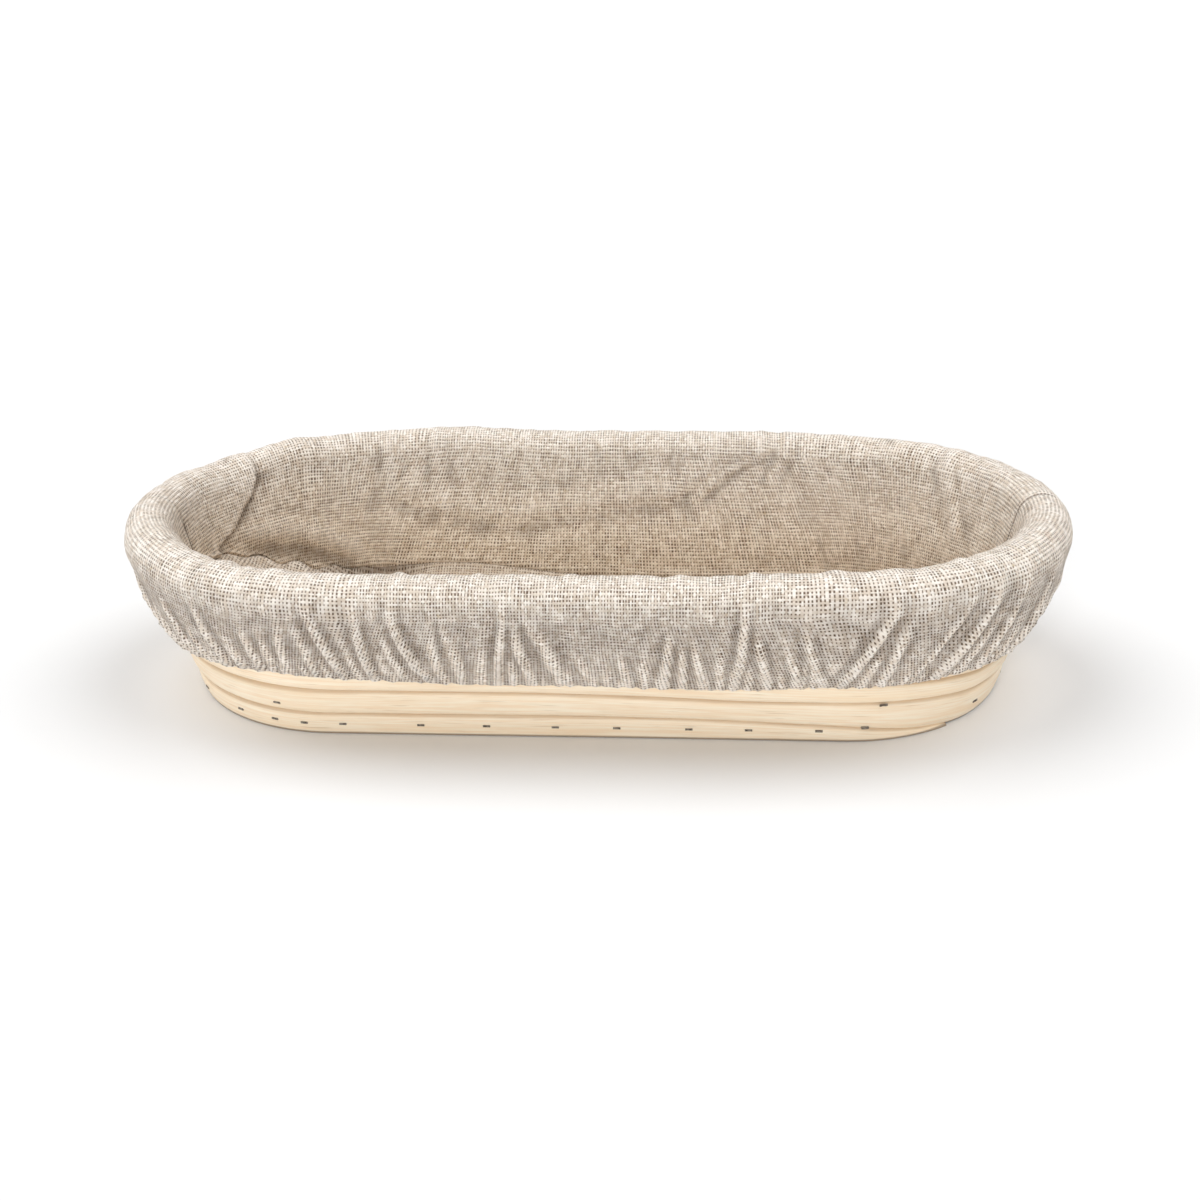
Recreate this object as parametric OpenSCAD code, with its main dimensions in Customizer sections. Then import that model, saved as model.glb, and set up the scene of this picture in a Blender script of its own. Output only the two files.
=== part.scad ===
// Oblong proofing basket with its liner. A tapered core and a flat coil of rattan cane make
// the base, three spliced canes wind on up the wall, wire staples hold the turns together,
// and a linen liner with a gathered elastic hem is pulled over the rim.
// Origin at the middle of the underside, +X along the basket, -Y the front, +Z up.
// A place round the basket is a way in four legs: 0 to 1 runs along the front from right to
// left, 1 to 2 round the left end, 2 to 3 along the back and 3 to 4 round the right end.

/* [Cane] */
// Width of the cane, from one turn to the next
cane_w = 10.8; // [8:0.1:13]
// Thickness of the cane, through the base or the wall
cane_t = 9.6; // [7:0.1:11]
// Clear gap between neighbouring turns
turn_gap = 0.65; // [0.5:0.05:1]
// Thickness that a shaved cane end tapers down to
tip_t = 1.2; // [0.8:0.1:2]

/* [Base] */
// Straight length in the middle of the base, between the round ends
base_straight = 183; // [120:1:240]
// Turns of the flat base coil around the core
base_turns = 4; // [3:1:6]

/* [Wall] */
// Turns of the wall above its foot turn
wall_turns = 5; // [3:1:7]
// How far each wall turn leans out at the long sides
side_lean = 3.5; // [2:0.1:4.5]
// How far each wall turn leans out at the round ends
end_lean = 3.6; // [2.8:0.1:4.5]
// Length of a round end over its half width, at the rim
rim_end_stretch = 1.25; // [1:0.05:1.4]
// Depth that the foot turn is cut flat where it stands
foot_cut = 0.65; // [0.3:0.05:1]

/* [Winding] */
// Way where each turn starts to climb on to the turn before it
climb_start = -0.27; // [-0.35:0.01:-0.15]
// Legs over which a turn climbs
climb_legs = 1; // [0.7:0.1:1]
// Way where the lapped splice of two wall canes ends
lap_end = 0.1; // [0.05:0.05:0.3]

/* [Staples] */
// Width of a staple's crown
crown_w = 2.6; // [2.4:0.1:5]
// Width of the flattened staple wire
wire_w = 0.75; // [0.6:0.05:1.2]
// Length of a staple's legs
leg_l = 14; // [13:0.5:18]
// How far a crown stands proud of the cane
crown_proud = 0.2; // [0:0.05:0.3]
// Spacing of the staples along the foot of the wall, at the ends and the back
foot_staple_step = 23.5; // [18:0.5:40]
// Spacing of the staples along the other turns
staple_step = 60; // [40:1:90]
// Sideways offset of the staples, to alternate sides from turn to turn
staple_shift = 1.6; // [1.2:0.1:2]

/* [Liner] */
// Thickness of the linen
liner_t = 0.8; // [0.5:0.1:1.2]
// Clear gap between the linen and the cane
liner_clear = 0.6; // [0.4:0.1:1]
// Slack of the linen where it rolls over the rim
rim_slack = 2; // [0.5:0.1:2.5]
// Slack of the linen down the inside of the wall
wall_slack = 1.4; // [1:0.1:2]
// Height of the hem above the underside
hem_z = 26.5; // [20:0.5:34]
// Way of the seam at the left end
left_seam = 1.5; // [1.3:0.05:1.7]
// Way of the seam at the right end
right_seam = 3.45; // [3.3:0.05:3.7]
// Gap between cloth edges that are sewn together
seam_gap = 0.3; // [0.2:0.1:0.6]

/* [Hem] */
// Width of the flat elastic
elastic_w = 4; // [3:0.5:6]
// Thickness of the flat elastic
elastic_t = 1; // [0.6:0.1:1.5]
// Clear gap between the elastic and the linen around it
elastic_clear = 0.3; // [0.2:0.1:0.5]
// Spacing of the main folds along the hem
fold_step = 31; // [24:1:50]
// Depth of the main folds at the hem
fold_depth = 2.4; // [1:0.1:3]
// Share by which the folds draw together from the rim to the hem
fold_gather = 0.06; // [0:0.01:0.12]

/* [Hidden] */

pitch = cane_w + turn_gap;
half_straight = base_straight / 2;
rise = sqrt(pitch * pitch - side_lean * side_lean);
wall_tilt = atan2(side_lean, rise);

// An eight-sided cane section: its flats take this share of the width and of the thickness
flat_share = sqrt(2) - 1;
half_flat = flat_share / 2;
SECTION = [[0.5, half_flat], [half_flat, 0.5], [-half_flat, 0.5], [-0.5, half_flat],
           [-0.5, -half_flat], [-half_flat, -0.5], [half_flat, -0.5], [0.5, -half_flat]];
sides = len(SECTION);

// The foot turn stands on its lower flat and leans clear of the base coil inside it
foot_z = cane_w / 2 * cos(wall_tilt) - foot_cut;
base_edge = base_turns * pitch + cane_w / 2;
flat_low_z = (0.5 - half_flat) * cane_t;
foot_b = base_edge + turn_gap + cane_t / 2 / cos(wall_tilt) + (foot_z - flat_low_z) * tan(wall_tilt);

// Ring stations of one loop, leg by leg
STRAIGHT_STEPS = 6;
BACK_STEPS = 1;
END_STEPS = 10;
LOOP = concat([for (i = [0 : STRAIGHT_STEPS - 1]) i / STRAIGHT_STEPS],
              [for (i = [0 : END_STEPS - 1]) 1 + i / END_STEPS],
              [for (i = [0 : BACK_STEPS - 1]) 2 + i / BACK_STEPS],
              [for (i = [0 : END_STEPS - 1]) 3 + i / END_STEPS]);

function clamp(x) = min(max(x, 0), 1);

function leg_of(way) = way - 4 * floor(way / 4);

// Point of an oblong with straight half length s, end length e and half width b
function oblong(way, s, e, b) =
    let (w = leg_of(way), q = 180 * (w - floor(w)))
    w < 1 ? [s - 2 * s * w, -b] :
    w < 2 ? [-s - e * sin(q), -b * cos(q)] :
    w < 3 ? [-s + 2 * s * (w - 2), b] :
    [s + e * sin(q), b * cos(q)];

// Outward normal of the same oblong
function oblong_normal(way, e, b) =
    let (w = leg_of(way), q = 180 * (w - floor(w)), n = [b * sin(q), e * cos(q)])
    w < 1 ? [0, -1] :
    w < 2 ? -n / norm(n) :
    w < 3 ? [0, 1] :
    n / norm(n);

// A winding climbs by one turn in each loop: steeply at the right end, then ever more gently
CLIMB_EASE = 3;
function turn_of(way) = floor((way - climb_start) / 4);
function climb_of(way) =
    1 - pow(1 - clamp((way - climb_start - 4 * turn_of(way)) / climb_legs), CLIMB_EASE);
function level_of(way) = turn_of(way) - 1 + climb_of(way);
// Way in a given turn where its climb has reached a share
function climb_way(turn, share) =
    4 * turn + climb_start + climb_legs * (1 - pow(1 - share, 1 / CLIMB_EASE));

// Frame of a base turn: centre, direction to the next turn, direction through the base
function base_frame(way) =
    let (b = level_of(way) * pitch,
         n = b > 0 ? oblong_normal(way, b, b) : [0, -1],
         p = oblong(way, half_straight, b, b))
    [[p[0], p[1], cane_t / 2], [n[0], n[1], 0], [0, 0, 1]];

// Size of the wall's oblong at a level counted in turns above the foot
function wall_b(level) = foot_b + side_lean * level;
function wall_e(level) = wall_b(level) * (1 + (rim_end_stretch - 1) * level / wall_turns);
function wall_s(level) = half_straight + foot_b + end_lean * level - wall_e(level);

// Frame of the wall at a way and a level: centre, direction up the wall, direction inwards
function wall_frame_at(way, level) =
    let (n = oblong_normal(way, wall_e(level), wall_b(level)),
         p = oblong(way, wall_s(level), wall_e(level), wall_b(level)))
    [[p[0], p[1], foot_z + rise * level],
     [n[0] * sin(wall_tilt), n[1] * sin(wall_tilt), cos(wall_tilt)],
     [-n[0] * cos(wall_tilt), -n[1] * cos(wall_tilt), sin(wall_tilt)]];
function wall_frame(way) = wall_frame_at(way, level_of(way));

function in_frame(f, along, through) = f[0] + f[1] * along + f[2] * through;
function above_floor(p) = [p[0], p[1], max(p[2], 0)];

// Ring of a cane in a frame, shaved to run from lo to hi across its width
function ring(f, lo, hi) =
    [for (s = SECTION) above_floor(in_frame(f, (lo + hi) / 2 + s[0] * (hi - lo), s[1] * cane_t))];

// Solid through a list of rings with the same even number of points. An open end is closed
// by a ladder of faces between the first half of its ring and the second.
module sweep(rings, closed = false) {
    n = len(rings[0]);
    m = len(rings);
    spans = closed ? m : m - 1;
    skin = [for (r = [0 : spans - 1], i = [0 : n - 1], half = [0, 1])
        let (a = r * n + i,
             b = r * n + (i + 1) % n,
             c = (r + 1) % m * n + (i + 1) % n,
             d = (r + 1) % m * n + i)
        half == 0 ? [a, b, c] : [a, c, d]];
    ladder = [for (i = [0 : n / 2 - 2], half = [0, 1])
        half == 0 ? [i, n - 2 - i, i + 1] : [i, n - 1 - i, n - 2 - i]];
    far_ladder = [for (f = ladder) [for (i = [2 : -1 : 0]) (m - 1) * n + f[i]]];
    ends = closed ? [] : concat(ladder, far_ladder);
    polyhedron(points = [for (r = rings) each r], faces = concat(skin, ends));
}

// Ways of a cane's rings: its own two ends and the loop stations between them
function cane_ways(first, last) =
    concat([first],
           [for (t = [floor(first / 4) : floor(last / 4)], w = LOOP)
               if (4 * t + w > first + 0.01 && 4 * t + w < last - 0.01) 4 * t + w],
           [last]);

// A lapped splice is a slanting cut across the width, from the top edge to the bottom edge
function lap_cut(way, turn) =
    pitch * (0.5 - clamp((way - 4 * turn - climb_start) / (lap_end - climb_start)));
lap_tip_share = (tip_t + turn_gap) / pitch;
function lap_way(turn, share) = 4 * turn + climb_start + (lap_end - climb_start) * share;
function lap_first(turn) = lap_way(turn, lap_tip_share);
function lap_last(turn) = lap_way(turn, 1 - lap_tip_share);

// The turns of the three wall canes, each given by the turn where it starts
middle_start = ceil((wall_turns + 1) / 2);
rim_start = wall_turns;
tail_turn = wall_turns + 1;

tail_share = (cane_w - tip_t) / pitch;
wall_first = climb_way(0, 1 - tail_share);
wall_last = climb_way(tail_turn, tail_share);

// Shaved edges: the wall starts as a wedge on the ground and ends as a wedge under a level rim
function wedge_lo(way) = max(-cane_w / 2, -cane_w / 2 - level_of(way) * pitch);
function tail_hi(way, top) = min(cane_w / 2, cane_w / 2 - (level_of(way) - top) * pitch);
function spliced_lo(way, turn) = max(-cane_w / 2, lap_cut(way, turn) + turn_gap / 2);
function spliced_hi(way, turn) = min(cane_w / 2, lap_cut(way, turn) - turn_gap / 2);

// Ring of each cane at a way, and the ways of its two ends
base_ring = function (v) ring(base_frame(v), -cane_w / 2, tail_hi(v, base_turns));
base_ends = [4, climb_way(base_turns + 1, tail_share)];
lower_ring = function (v) ring(wall_frame(v), wedge_lo(v), spliced_hi(v, middle_start));
lower_ends = [wall_first, lap_last(middle_start)];
middle_ring = function (v) ring(wall_frame(v), spliced_lo(v, middle_start), spliced_hi(v, rim_start));
middle_ends = [lap_first(middle_start), lap_last(rim_start)];
rim_ring = function (v) ring(wall_frame(v), spliced_lo(v, rim_start), tail_hi(v, wall_turns));
rim_ends = [lap_first(rim_start), wall_last];

// Least gap of a cane to its own next turn, on points along the edges of facing rings
GAP_STEPS = 2;
GAP_REACH = [-0.08 : 0.02 : 0.08];
function edge_points(r) =
    [for (i = [0 : sides - 1], k = [0 : GAP_STEPS - 1])
        r[i] + (r[(i + 1) % sides] - r[i]) * k / GAP_STEPS];
function ring_gap(a, b) =
    min([for (p = edge_points(a), q = edge_points(b)) norm(p - q)]);
function turn_gap_of(shape, ends) =
    min([for (v = cane_ways(ends[0], ends[1] - 4), reach = GAP_REACH)
        ring_gap(shape(v), shape(min(v + 4 + reach, ends[1])))]);
union() {
    echo("least gap in base coil, mm", turn_gap_of(base_ring, base_ends));
    echo("least gap in lower wall cane, mm", turn_gap_of(lower_ring, lower_ends));
    echo("least gap in middle wall cane, mm", turn_gap_of(middle_ring, middle_ends));
    echo("least gap in rim cane, mm", turn_gap_of(rim_ring, rim_ends));
}

// The core is a straight slip that fills the wedge left inside the first base turn
ROUND_END = [80, 60, 30];
function core_ring(x, lo, hi) =
    ring([[x, 0, cane_t / 2], [0, 1, 0], [0, 0, 1]], lo, hi);
function core_straight_ring(way) =
    core_ring(half_straight * (1 - 2 * way), cane_w / 2 + turn_gap - pitch * climb_of(way), cane_w / 2);
core_rings = concat(
    [for (q = ROUND_END)
        core_ring(-half_straight - cane_w / 2 * sin(q), -cane_w / 2 * cos(q), cane_w / 2 * cos(q))],
    [for (i = [STRAIGHT_STEPS : -1 : 0]) core_straight_ring(i / STRAIGHT_STEPS)]);

module cane_colour() {
    color("burlywood") children();
}

module wound_cane(shape, ends) {
    cane_colour() sweep([for (v = cane_ways(ends[0], ends[1])) shape(v)]);
}

module base_core() {
    cane_colour() sweep(core_rings);
}

module base_coil() {
    wound_cane(base_ring, base_ends);
}

module lower_wall_cane() {
    wound_cane(lower_ring, lower_ends);
}

module middle_wall_cane() {
    wound_cane(middle_ring, middle_ends);
}

module rim_cane() {
    wound_cane(rim_ring, rim_ends);
}

// Staple of flattened wire: crown at the origin along X, legs along +Y
module staple() {
    half = crown_w / 2;
    leg = [[half, 0], [half, leg_l - wire_w], [half - wire_w / 2, leg_l], [half - wire_w, leg_l - wire_w],
           [half - wire_w, wire_w]];
    mirrored = [for (i = [len(leg) - 1 : -1 : 0]) [-leg[i][0], leg[i][1]]];
    linear_extrude(wire_w, center = true) polygon(concat(leg, mirrored));
}

// A staple at a point, driven along a direction, its crown level along the turn
module driven(point, direction) {
    d = direction / norm(direction);
    flat = norm([d[0], d[1]]) > 0.001 ? [-d[1], d[0], 0] : [1, 0, 0];
    c = flat / norm(flat);
    z = cross(c, d);
    color("dimgray")
        multmatrix([[c[0], d[0], z[0], point[0]], [c[1], d[1], z[1], point[1]], [c[2], d[2], z[2], point[2]],
                    [0, 0, 0, 1]])
            staple();
}

// Way where a turn has all but climbed on to the turn before it
climb_done = climb_way(0, 0.97);

// Ways of evenly spaced staples round a loop, from a first way to the next turn's climb
function staple_ways(s, e, b, step, first) =
    let (runs = round(2 * s / step), ends = round(PI / 2 * (e + b) / step), counts = [runs, ends, runs, ends])
    [for (leg = [0 : 3], i = [0 : counts[leg] - 1])
        let (w = leg + (i + 0.5) / counts[leg])
        if (w > first && w < 4 + climb_start) w];

// Staples through a turn into the one before it, on alternate sides from turn to turn, their crowns
// driven just below its face so that the next turn lies clear of them
CROWN_SUNK = 0.1;
function shift_of(turn) = turn % 2 == 0 ? -staple_shift : staple_shift;
module turn_staple(f, turn) {
    driven(in_frame(f, cane_w / 2 - CROWN_SUNK, shift_of(turn)), -f[1]);
}

module base_staples() {
    for (t = [1 : base_turns], w = staple_ways(half_straight, t * pitch, t * pitch, staple_step, climb_done))
        turn_staple(base_frame(4 * t + w), t);
}

// Direction into the wall at a frame, at an angle below level
function inward_down(f, angle) = f[2] * cos(angle + wall_tilt) - f[1] * sin(angle + wall_tilt);

// The foot row is driven in level from outside, through the foot turn into the base coil: by eye along the
// front, evenly round the rest
foot_row_up = 0.185 * cane_w;
FRONT_ROW = [0.04, 0.175, 0.29, 0.43, 0.55, 0.685, 0.815, 0.97, 1.045, 1.105];
ROW_FROM = 1.18;
ROW_TO = 3.62;
even_row = [for (w = staple_ways(wall_s(0), wall_e(0), wall_b(0), foot_staple_step, ROW_FROM)) if (w < ROW_TO) w];
module foot_staples() {
    for (w = concat(FRONT_ROW, even_row)) {
        f = wall_frame_at(w, 0);
        driven(in_frame(f, foot_row_up, -cane_t / 2 - crown_proud), inward_down(f, 0));
    }
}

module wall_staples(first, last) {
    for (t = [first : last], w = staple_ways(wall_s(t), wall_e(t), wall_b(t), staple_step, climb_done))
        turn_staple(wall_frame(4 * t + w), t);
}

module lower_wall_staples() {
    wall_staples(1, middle_start - 1);
}

module middle_wall_staples() {
    wall_staples(middle_start, rim_start - 1);
}

module rim_staples() {
    wall_staples(rim_start, wall_turns);
}

// Toe staples stand off the row at the wedges: way, height on the turn in shares of its width, angle down
TOE_PLACES = [[3.714, 0.28, 0], [3.949, -0.23, 0], [5.1, -0.065, 40], [7.912, -0.23, 35]];
module toe_staples() {
    for (t = TOE_PLACES) {
        f = wall_frame(t[0]);
        driven(in_frame(f, t[1] * cane_w, -cane_t / 2 - crown_proud), inward_down(f, t[2]));
    }
}

// Liner: offsets from the middle of the wall to the middle of the cloth
liner_mid = cane_t / 2 + liner_clear + liner_t / 2;
rim_mid = liner_mid + rim_slack;
rim_top = cane_w / 2 + liner_clear + liner_t / 2 + rim_slack;
pocket = elastic_t + 2 * elastic_clear + liner_t;
hem_level = (hem_z - foot_z) / rise;
pocket_level = (elastic_w + 2 * elastic_clear + liner_t) / rise;
floor_z = cane_t + liner_clear;
floor_level = (floor_z - foot_z) / rise;

// Length along the hem from the middle of the front, on which the folds are spaced
hem_run = 2 * wall_s(hem_level);
hem_end = PI / 2 * (wall_e(hem_level) + wall_b(hem_level));
function run_to(way) =
    let (w = leg_of(way + 2) - 2)
    w < 0 ? w * hem_end : w < 1 ? w * hem_run : hem_run + (w - 1) * hem_end;
function along_hem(way) = run_to(way) - hem_run / 2;

// Main folds lie between 0 and 1, and draw together towards the hem
SECOND_FOLD = 1.7;
function fold(way, level, middle) =
    let (x = (along_hem(way - middle)) * (1 + fold_gather * (wall_turns - level)))
    0.5 + 0.33 * cos(360 * x / fold_step) + 0.17 * cos(360 * x / (fold_step * SECOND_FOLD));

// One line of the cloth from the floor seam up the wall, over the rim and down to the hem.
// Each entry is level, offset outwards, offset up the wall, and the angle that its face looks.
function cloth_line(way, middle) =
    let (f_mid = fold(way, wall_turns * 0.7, middle),
         f_hem = fold(way, hem_level, middle),
         skirt_level = (wall_turns + hem_level) / 2,
         casing_level = hem_level + pocket_level,
         hem_out = liner_mid + pocket + fold_depth * f_hem)
    [[floor_level, -liner_mid - wall_slack, 0, 180],
     [wall_turns * 0.35, -liner_mid - wall_slack, 0, 180],
     [wall_turns * 0.7, -liner_mid - wall_slack, 0, 180],
     [wall_turns, -rim_mid, 0, 180],
     [wall_turns, -rim_mid * cos(45), rim_top * sin(45), 135],
     [wall_turns, 0, rim_top, 90],
     [wall_turns, rim_mid * cos(45), rim_top * sin(45), 45],
     [wall_turns, rim_mid, 0, 0],
     [skirt_level, rim_mid + fold_depth / 2 * f_mid, 0, 0],
     [casing_level, hem_out, 0, 0],
     [hem_level, hem_out - liner_t / 2, liner_t / 2, -45],
     [hem_level, liner_mid, liner_t / 2, -135],
     [casing_level, liner_mid, 0, 180]];

function cloth_point(way, p, side) =
    in_frame(wall_frame_at(way, p[0]),
             p[2] + sin(p[3]) * side * liner_t / 2,
             -p[1] - cos(p[3]) * side * liner_t / 2);
function cloth_ring(way, middle) =
    let (line = cloth_line(way, middle), n = len(line))
    concat([for (i = [0 : n - 1]) cloth_point(way, line[i], 1)],
           [for (i = [n - 1 : -1 : 0]) cloth_point(way, line[i], -1)]);

// Stations of a panel between two seams, closer together than its folds
PANEL_STEPS = 40;
seam_way = seam_gap / 2 / hem_end;
function panel_ways(from, to) =
    [for (i = [0 : PANEL_STEPS]) from + seam_way + (to - from - 2 * seam_way) * i / PANEL_STEPS];
module panel(from, to, middle) {
    color("antiquewhite") sweep([for (w = panel_ways(from, to)) cloth_ring(w, middle)]);
}

front_middle = 0;
back_middle = 2;
module liner_front_panel() {
    panel(right_seam - 4, left_seam, front_middle);
}

module liner_back_panel() {
    panel(left_seam, right_seam, back_middle);
}

// The floor panel lies on the base, inside the lower edge of the wall panels
FLOOR_STEPS = 16;
floor_in = liner_mid + wall_slack + liner_t / 2 + seam_gap;
floor_ways = concat([0, 1], [for (i = [1 : FLOOR_STEPS]) 1 + i / FLOOR_STEPS],
                    [for (i = [0 : FLOOR_STEPS - 1]) 3 + i / FLOOR_STEPS]);
module liner_floor() {
    edge = [for (w = floor_ways) in_frame(wall_frame_at(w, floor_level), 0, floor_in)];
    color("antiquewhite")
        translate([0, 0, floor_z])
            linear_extrude(liner_t)
                polygon([for (p = edge) [p[0], p[1]]]);
}

// Flat elastic, one closed loop in the hem's pocket
elastic_level = hem_level + (liner_t + elastic_clear + elastic_w / 2) / rise;
elastic_mid = liner_mid + liner_t / 2 + elastic_clear + elastic_t / 2;
elastic_ways = concat(panel_ways(right_seam - 4, left_seam), panel_ways(left_seam, right_seam));
module hem_elastic() {
    corners = [[1, 1], [1, -1], [-1, -1], [-1, 1]];
    color("white")
        sweep([for (w = elastic_ways)
                   let (f = wall_frame_at(w, elastic_level))
                   [for (c = corners)
                       in_frame(f, c[0] * elastic_w / 2, -elastic_mid + c[1] * elastic_t / 2)]],
              closed = true);
}

base_core();
base_coil();
lower_wall_cane();
middle_wall_cane();
rim_cane();
base_staples();
foot_staples();
lower_wall_staples();
middle_wall_staples();
rim_staples();
toe_staples();
liner_floor();
liner_front_panel();
liner_back_panel();
hem_elastic();
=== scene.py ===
# %% [markdown]
# # A proofing basket of wound cane with a linen liner
# The basket is rattan cane wound round and round, flat for the base and then up the wall, and stapled
# turn to turn. A linen liner lies inside, rolls over the rim and is gathered below it by an elastic hem.
# The imported model gives the sizes and the bodies that move, so the lesson starts by loading it.

# %% Load the frame
import math

import bpy
import numpy as np
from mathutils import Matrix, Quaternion, Vector


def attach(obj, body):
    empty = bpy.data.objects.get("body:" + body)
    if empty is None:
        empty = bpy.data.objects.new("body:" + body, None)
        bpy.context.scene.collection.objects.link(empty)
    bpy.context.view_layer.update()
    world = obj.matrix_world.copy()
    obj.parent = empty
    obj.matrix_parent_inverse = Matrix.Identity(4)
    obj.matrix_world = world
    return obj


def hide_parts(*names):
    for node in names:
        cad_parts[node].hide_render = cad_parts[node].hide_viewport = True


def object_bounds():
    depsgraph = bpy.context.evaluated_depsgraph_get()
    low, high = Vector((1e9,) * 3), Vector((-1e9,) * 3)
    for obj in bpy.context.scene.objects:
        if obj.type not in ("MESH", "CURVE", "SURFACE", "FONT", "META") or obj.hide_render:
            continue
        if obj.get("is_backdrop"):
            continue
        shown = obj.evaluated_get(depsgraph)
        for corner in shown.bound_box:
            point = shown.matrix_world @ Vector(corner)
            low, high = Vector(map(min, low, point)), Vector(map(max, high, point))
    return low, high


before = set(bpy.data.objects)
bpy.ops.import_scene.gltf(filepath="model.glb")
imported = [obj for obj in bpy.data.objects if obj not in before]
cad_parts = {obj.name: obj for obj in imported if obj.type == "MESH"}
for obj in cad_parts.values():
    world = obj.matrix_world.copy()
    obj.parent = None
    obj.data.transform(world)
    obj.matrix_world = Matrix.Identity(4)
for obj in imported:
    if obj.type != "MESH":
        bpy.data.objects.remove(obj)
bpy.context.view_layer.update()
scene = bpy.context.scene
scene.view_settings.view_transform = "Standard"
MM = 0.001

# %% [markdown]
# ## The camera
# A product photograph is taken from a little above and well back, so that the sides stay almost parallel.
# The distance, height and turn could be set by eye. Here they come from fitting the basket's outlines, and
# the small shift puts the basket where the picture has it.

# %% Camera
LOOK_AT = Vector((0, 0, 30 * MM))
DISTANCE = 700 * MM
TURN = math.radians(5.44)
LOOK_DOWN = math.radians(23.89)
CAMERA_ROLL = math.radians(-1.68)
level_reach = math.cos(LOOK_DOWN)
to_camera = Vector((math.sin(TURN) * level_reach, -math.cos(TURN) * level_reach, math.sin(LOOK_DOWN)))
bpy.ops.object.select_all(action="DESELECT")
bpy.ops.object.camera_add(location=LOOK_AT + DISTANCE * to_camera)
camera = bpy.context.object
camera.name = "front_camera"
aim = (-to_camera).to_track_quat("-Z", "Y") @ Quaternion((0, 0, 1), CAMERA_ROLL)
camera.rotation_euler = aim.to_euler()
camera.data.sensor_width = 36
camera.data.lens = 55.05
camera.data.shift_x = 0.0054
camera.data.shift_y = -0.0069
camera.data.clip_start = 0.01
scene.camera = camera
print("camera at", [round(value, 3) for value in camera.location])

# %% [markdown]
# ## Nodes for the finishes
# Every finish here, from paper to linen, is a tree of shader nodes. They could be joined by hand in the
# shader editor, but a tree of a hundred nodes is hard to read there. So a few short helpers add a node,
# feed its inputs and hand back its output, and a finish reads like a sum.


# %% Helpers for materials
def new_node(tree, kind, **settings):
    node = tree.nodes.new(kind)
    for name, value in settings.items():
        setattr(node, name, value)
    return node


def feed(tree, node, socket, source):
    if isinstance(source, bpy.types.NodeSocket):
        tree.links.new(source, node.inputs[socket])
    else:
        node.inputs[socket].default_value = source


def sums(tree, operation, *values):
    node = new_node(tree, "ShaderNodeMath", operation=operation)
    for socket, value in enumerate(values):
        feed(tree, node, socket, value)
    return node.outputs[0]


def blended(tree, share, first, second, blend="MIX"):
    node = new_node(tree, "ShaderNodeMix", data_type="RGBA", blend_type=blend)
    feed(tree, node, "Factor", share)
    feed(tree, node, "A", first)
    feed(tree, node, "B", second)
    return node.outputs["Result"]


def ramped(tree, value, low, high, to_low=0.0, to_high=1.0, smooth=True):
    node = new_node(tree, "ShaderNodeMapRange", interpolation_type="SMOOTHSTEP" if smooth else "LINEAR")
    for socket, source in enumerate((value, low, high, to_low, to_high)):
        feed(tree, node, socket, source)
    return node.outputs[0]


def new_material(name):
    material = bpy.data.materials.new(name)
    material.use_nodes = True
    tree = material.node_tree
    return material, tree, tree.nodes["Principled BSDF"]


def seen_directly(tree):
    path = new_node(tree, "ShaderNodeLightPath")
    seen = sums(tree, "MAXIMUM", path.outputs["Is Camera Ray"], path.outputs["Is Glossy Ray"])
    return sums(tree, "MAXIMUM", seen, path.outputs["Is Transmission Ray"])


print("helpers for materials are ready")

# %% [markdown]
# ## Floor and light
# The basket stands on a white sweep in a pale room, under two wide soft lamps, one on each side and a
# little behind it, and a lower, narrower one in front, which draws the folds of the cloth. Area lamps
# close by would leave the far floor grey, and lamps strong enough to burn it out would wash out the cane
# too. So all three are far ones, which light the whole floor evenly at a plain level, and the room is
# whiter only where the camera looks at it directly.

# %% Floor
PAPER = (0.88, 0.87, 0.86, 1)
PAPER_SEEN = (0.81, 0.81, 0.81, 1)
bpy.ops.object.select_all(action="DESELECT")
bpy.ops.mesh.primitive_plane_add(size=10)
floor = bpy.context.object
floor.name = "studio_floor"
paper, tree, shader = new_material("white_paper")
feed(tree, shader, "Roughness", 0.9)
feed(tree, shader, "Specular IOR Level", 0.1)
floor_tone = blended(tree, seen_directly(tree), PAPER, PAPER_SEEN)
feed(tree, shader, "Base Color", floor_tone)
floor.data.materials.append(paper)
floor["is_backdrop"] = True
print("floor of", floor.dimensions.x, "m")

# %% Room and lamps
ROOM_FILL = 0.25
# place, strength, and spread in degrees
LAMPS = {
    "left_lamp": (Vector((-0.60, 0.15, 1.1)), 1.64, 46),
    "right_lamp": (Vector((0.60, 0.15, 1.1)), 1.51, 46),
    "front_lamp": (Vector((-0.16, -0.95, 0.44)), 1.27, 20),
}
room = bpy.data.worlds.new("white_room")
scene.world = room
room.use_nodes = True
tree = room.node_tree
sky = tree.nodes["Background"]
sky.inputs["Color"].default_value = (1, 1, 1, 1)
feed(tree, sky, "Strength", ramped(tree, seen_directly(tree), 0.0, 1.0, ROOM_FILL, 1.0, smooth=False))
for name, (lamp_place, level, spread) in LAMPS.items():
    bpy.ops.object.select_all(action="DESELECT")
    bpy.ops.object.light_add(type="SUN", location=lamp_place)
    lamp = bpy.context.object
    lamp.name = name
    lamp.data.energy = level
    lamp.data.angle = math.radians(spread)
    lamp.rotation_euler = (LOOK_AT - lamp_place).to_track_quat("-Z", "Y").to_euler()
    print(name, "at", [round(side, 2) for side in lamp_place], "level", level)

# %% [markdown]
# ## The way round the basket
# Every piece of this basket follows the same oblong way: along the front, round the left end, along the
# back and round the right end. Each piece could be drawn on its own, but then the cane, the cloth and
# the elastic would not sit on each other. So one formula gives the place for a share of the way round
# and a level up the wall, and each piece is a flat grid whose points are laid along it.

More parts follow.
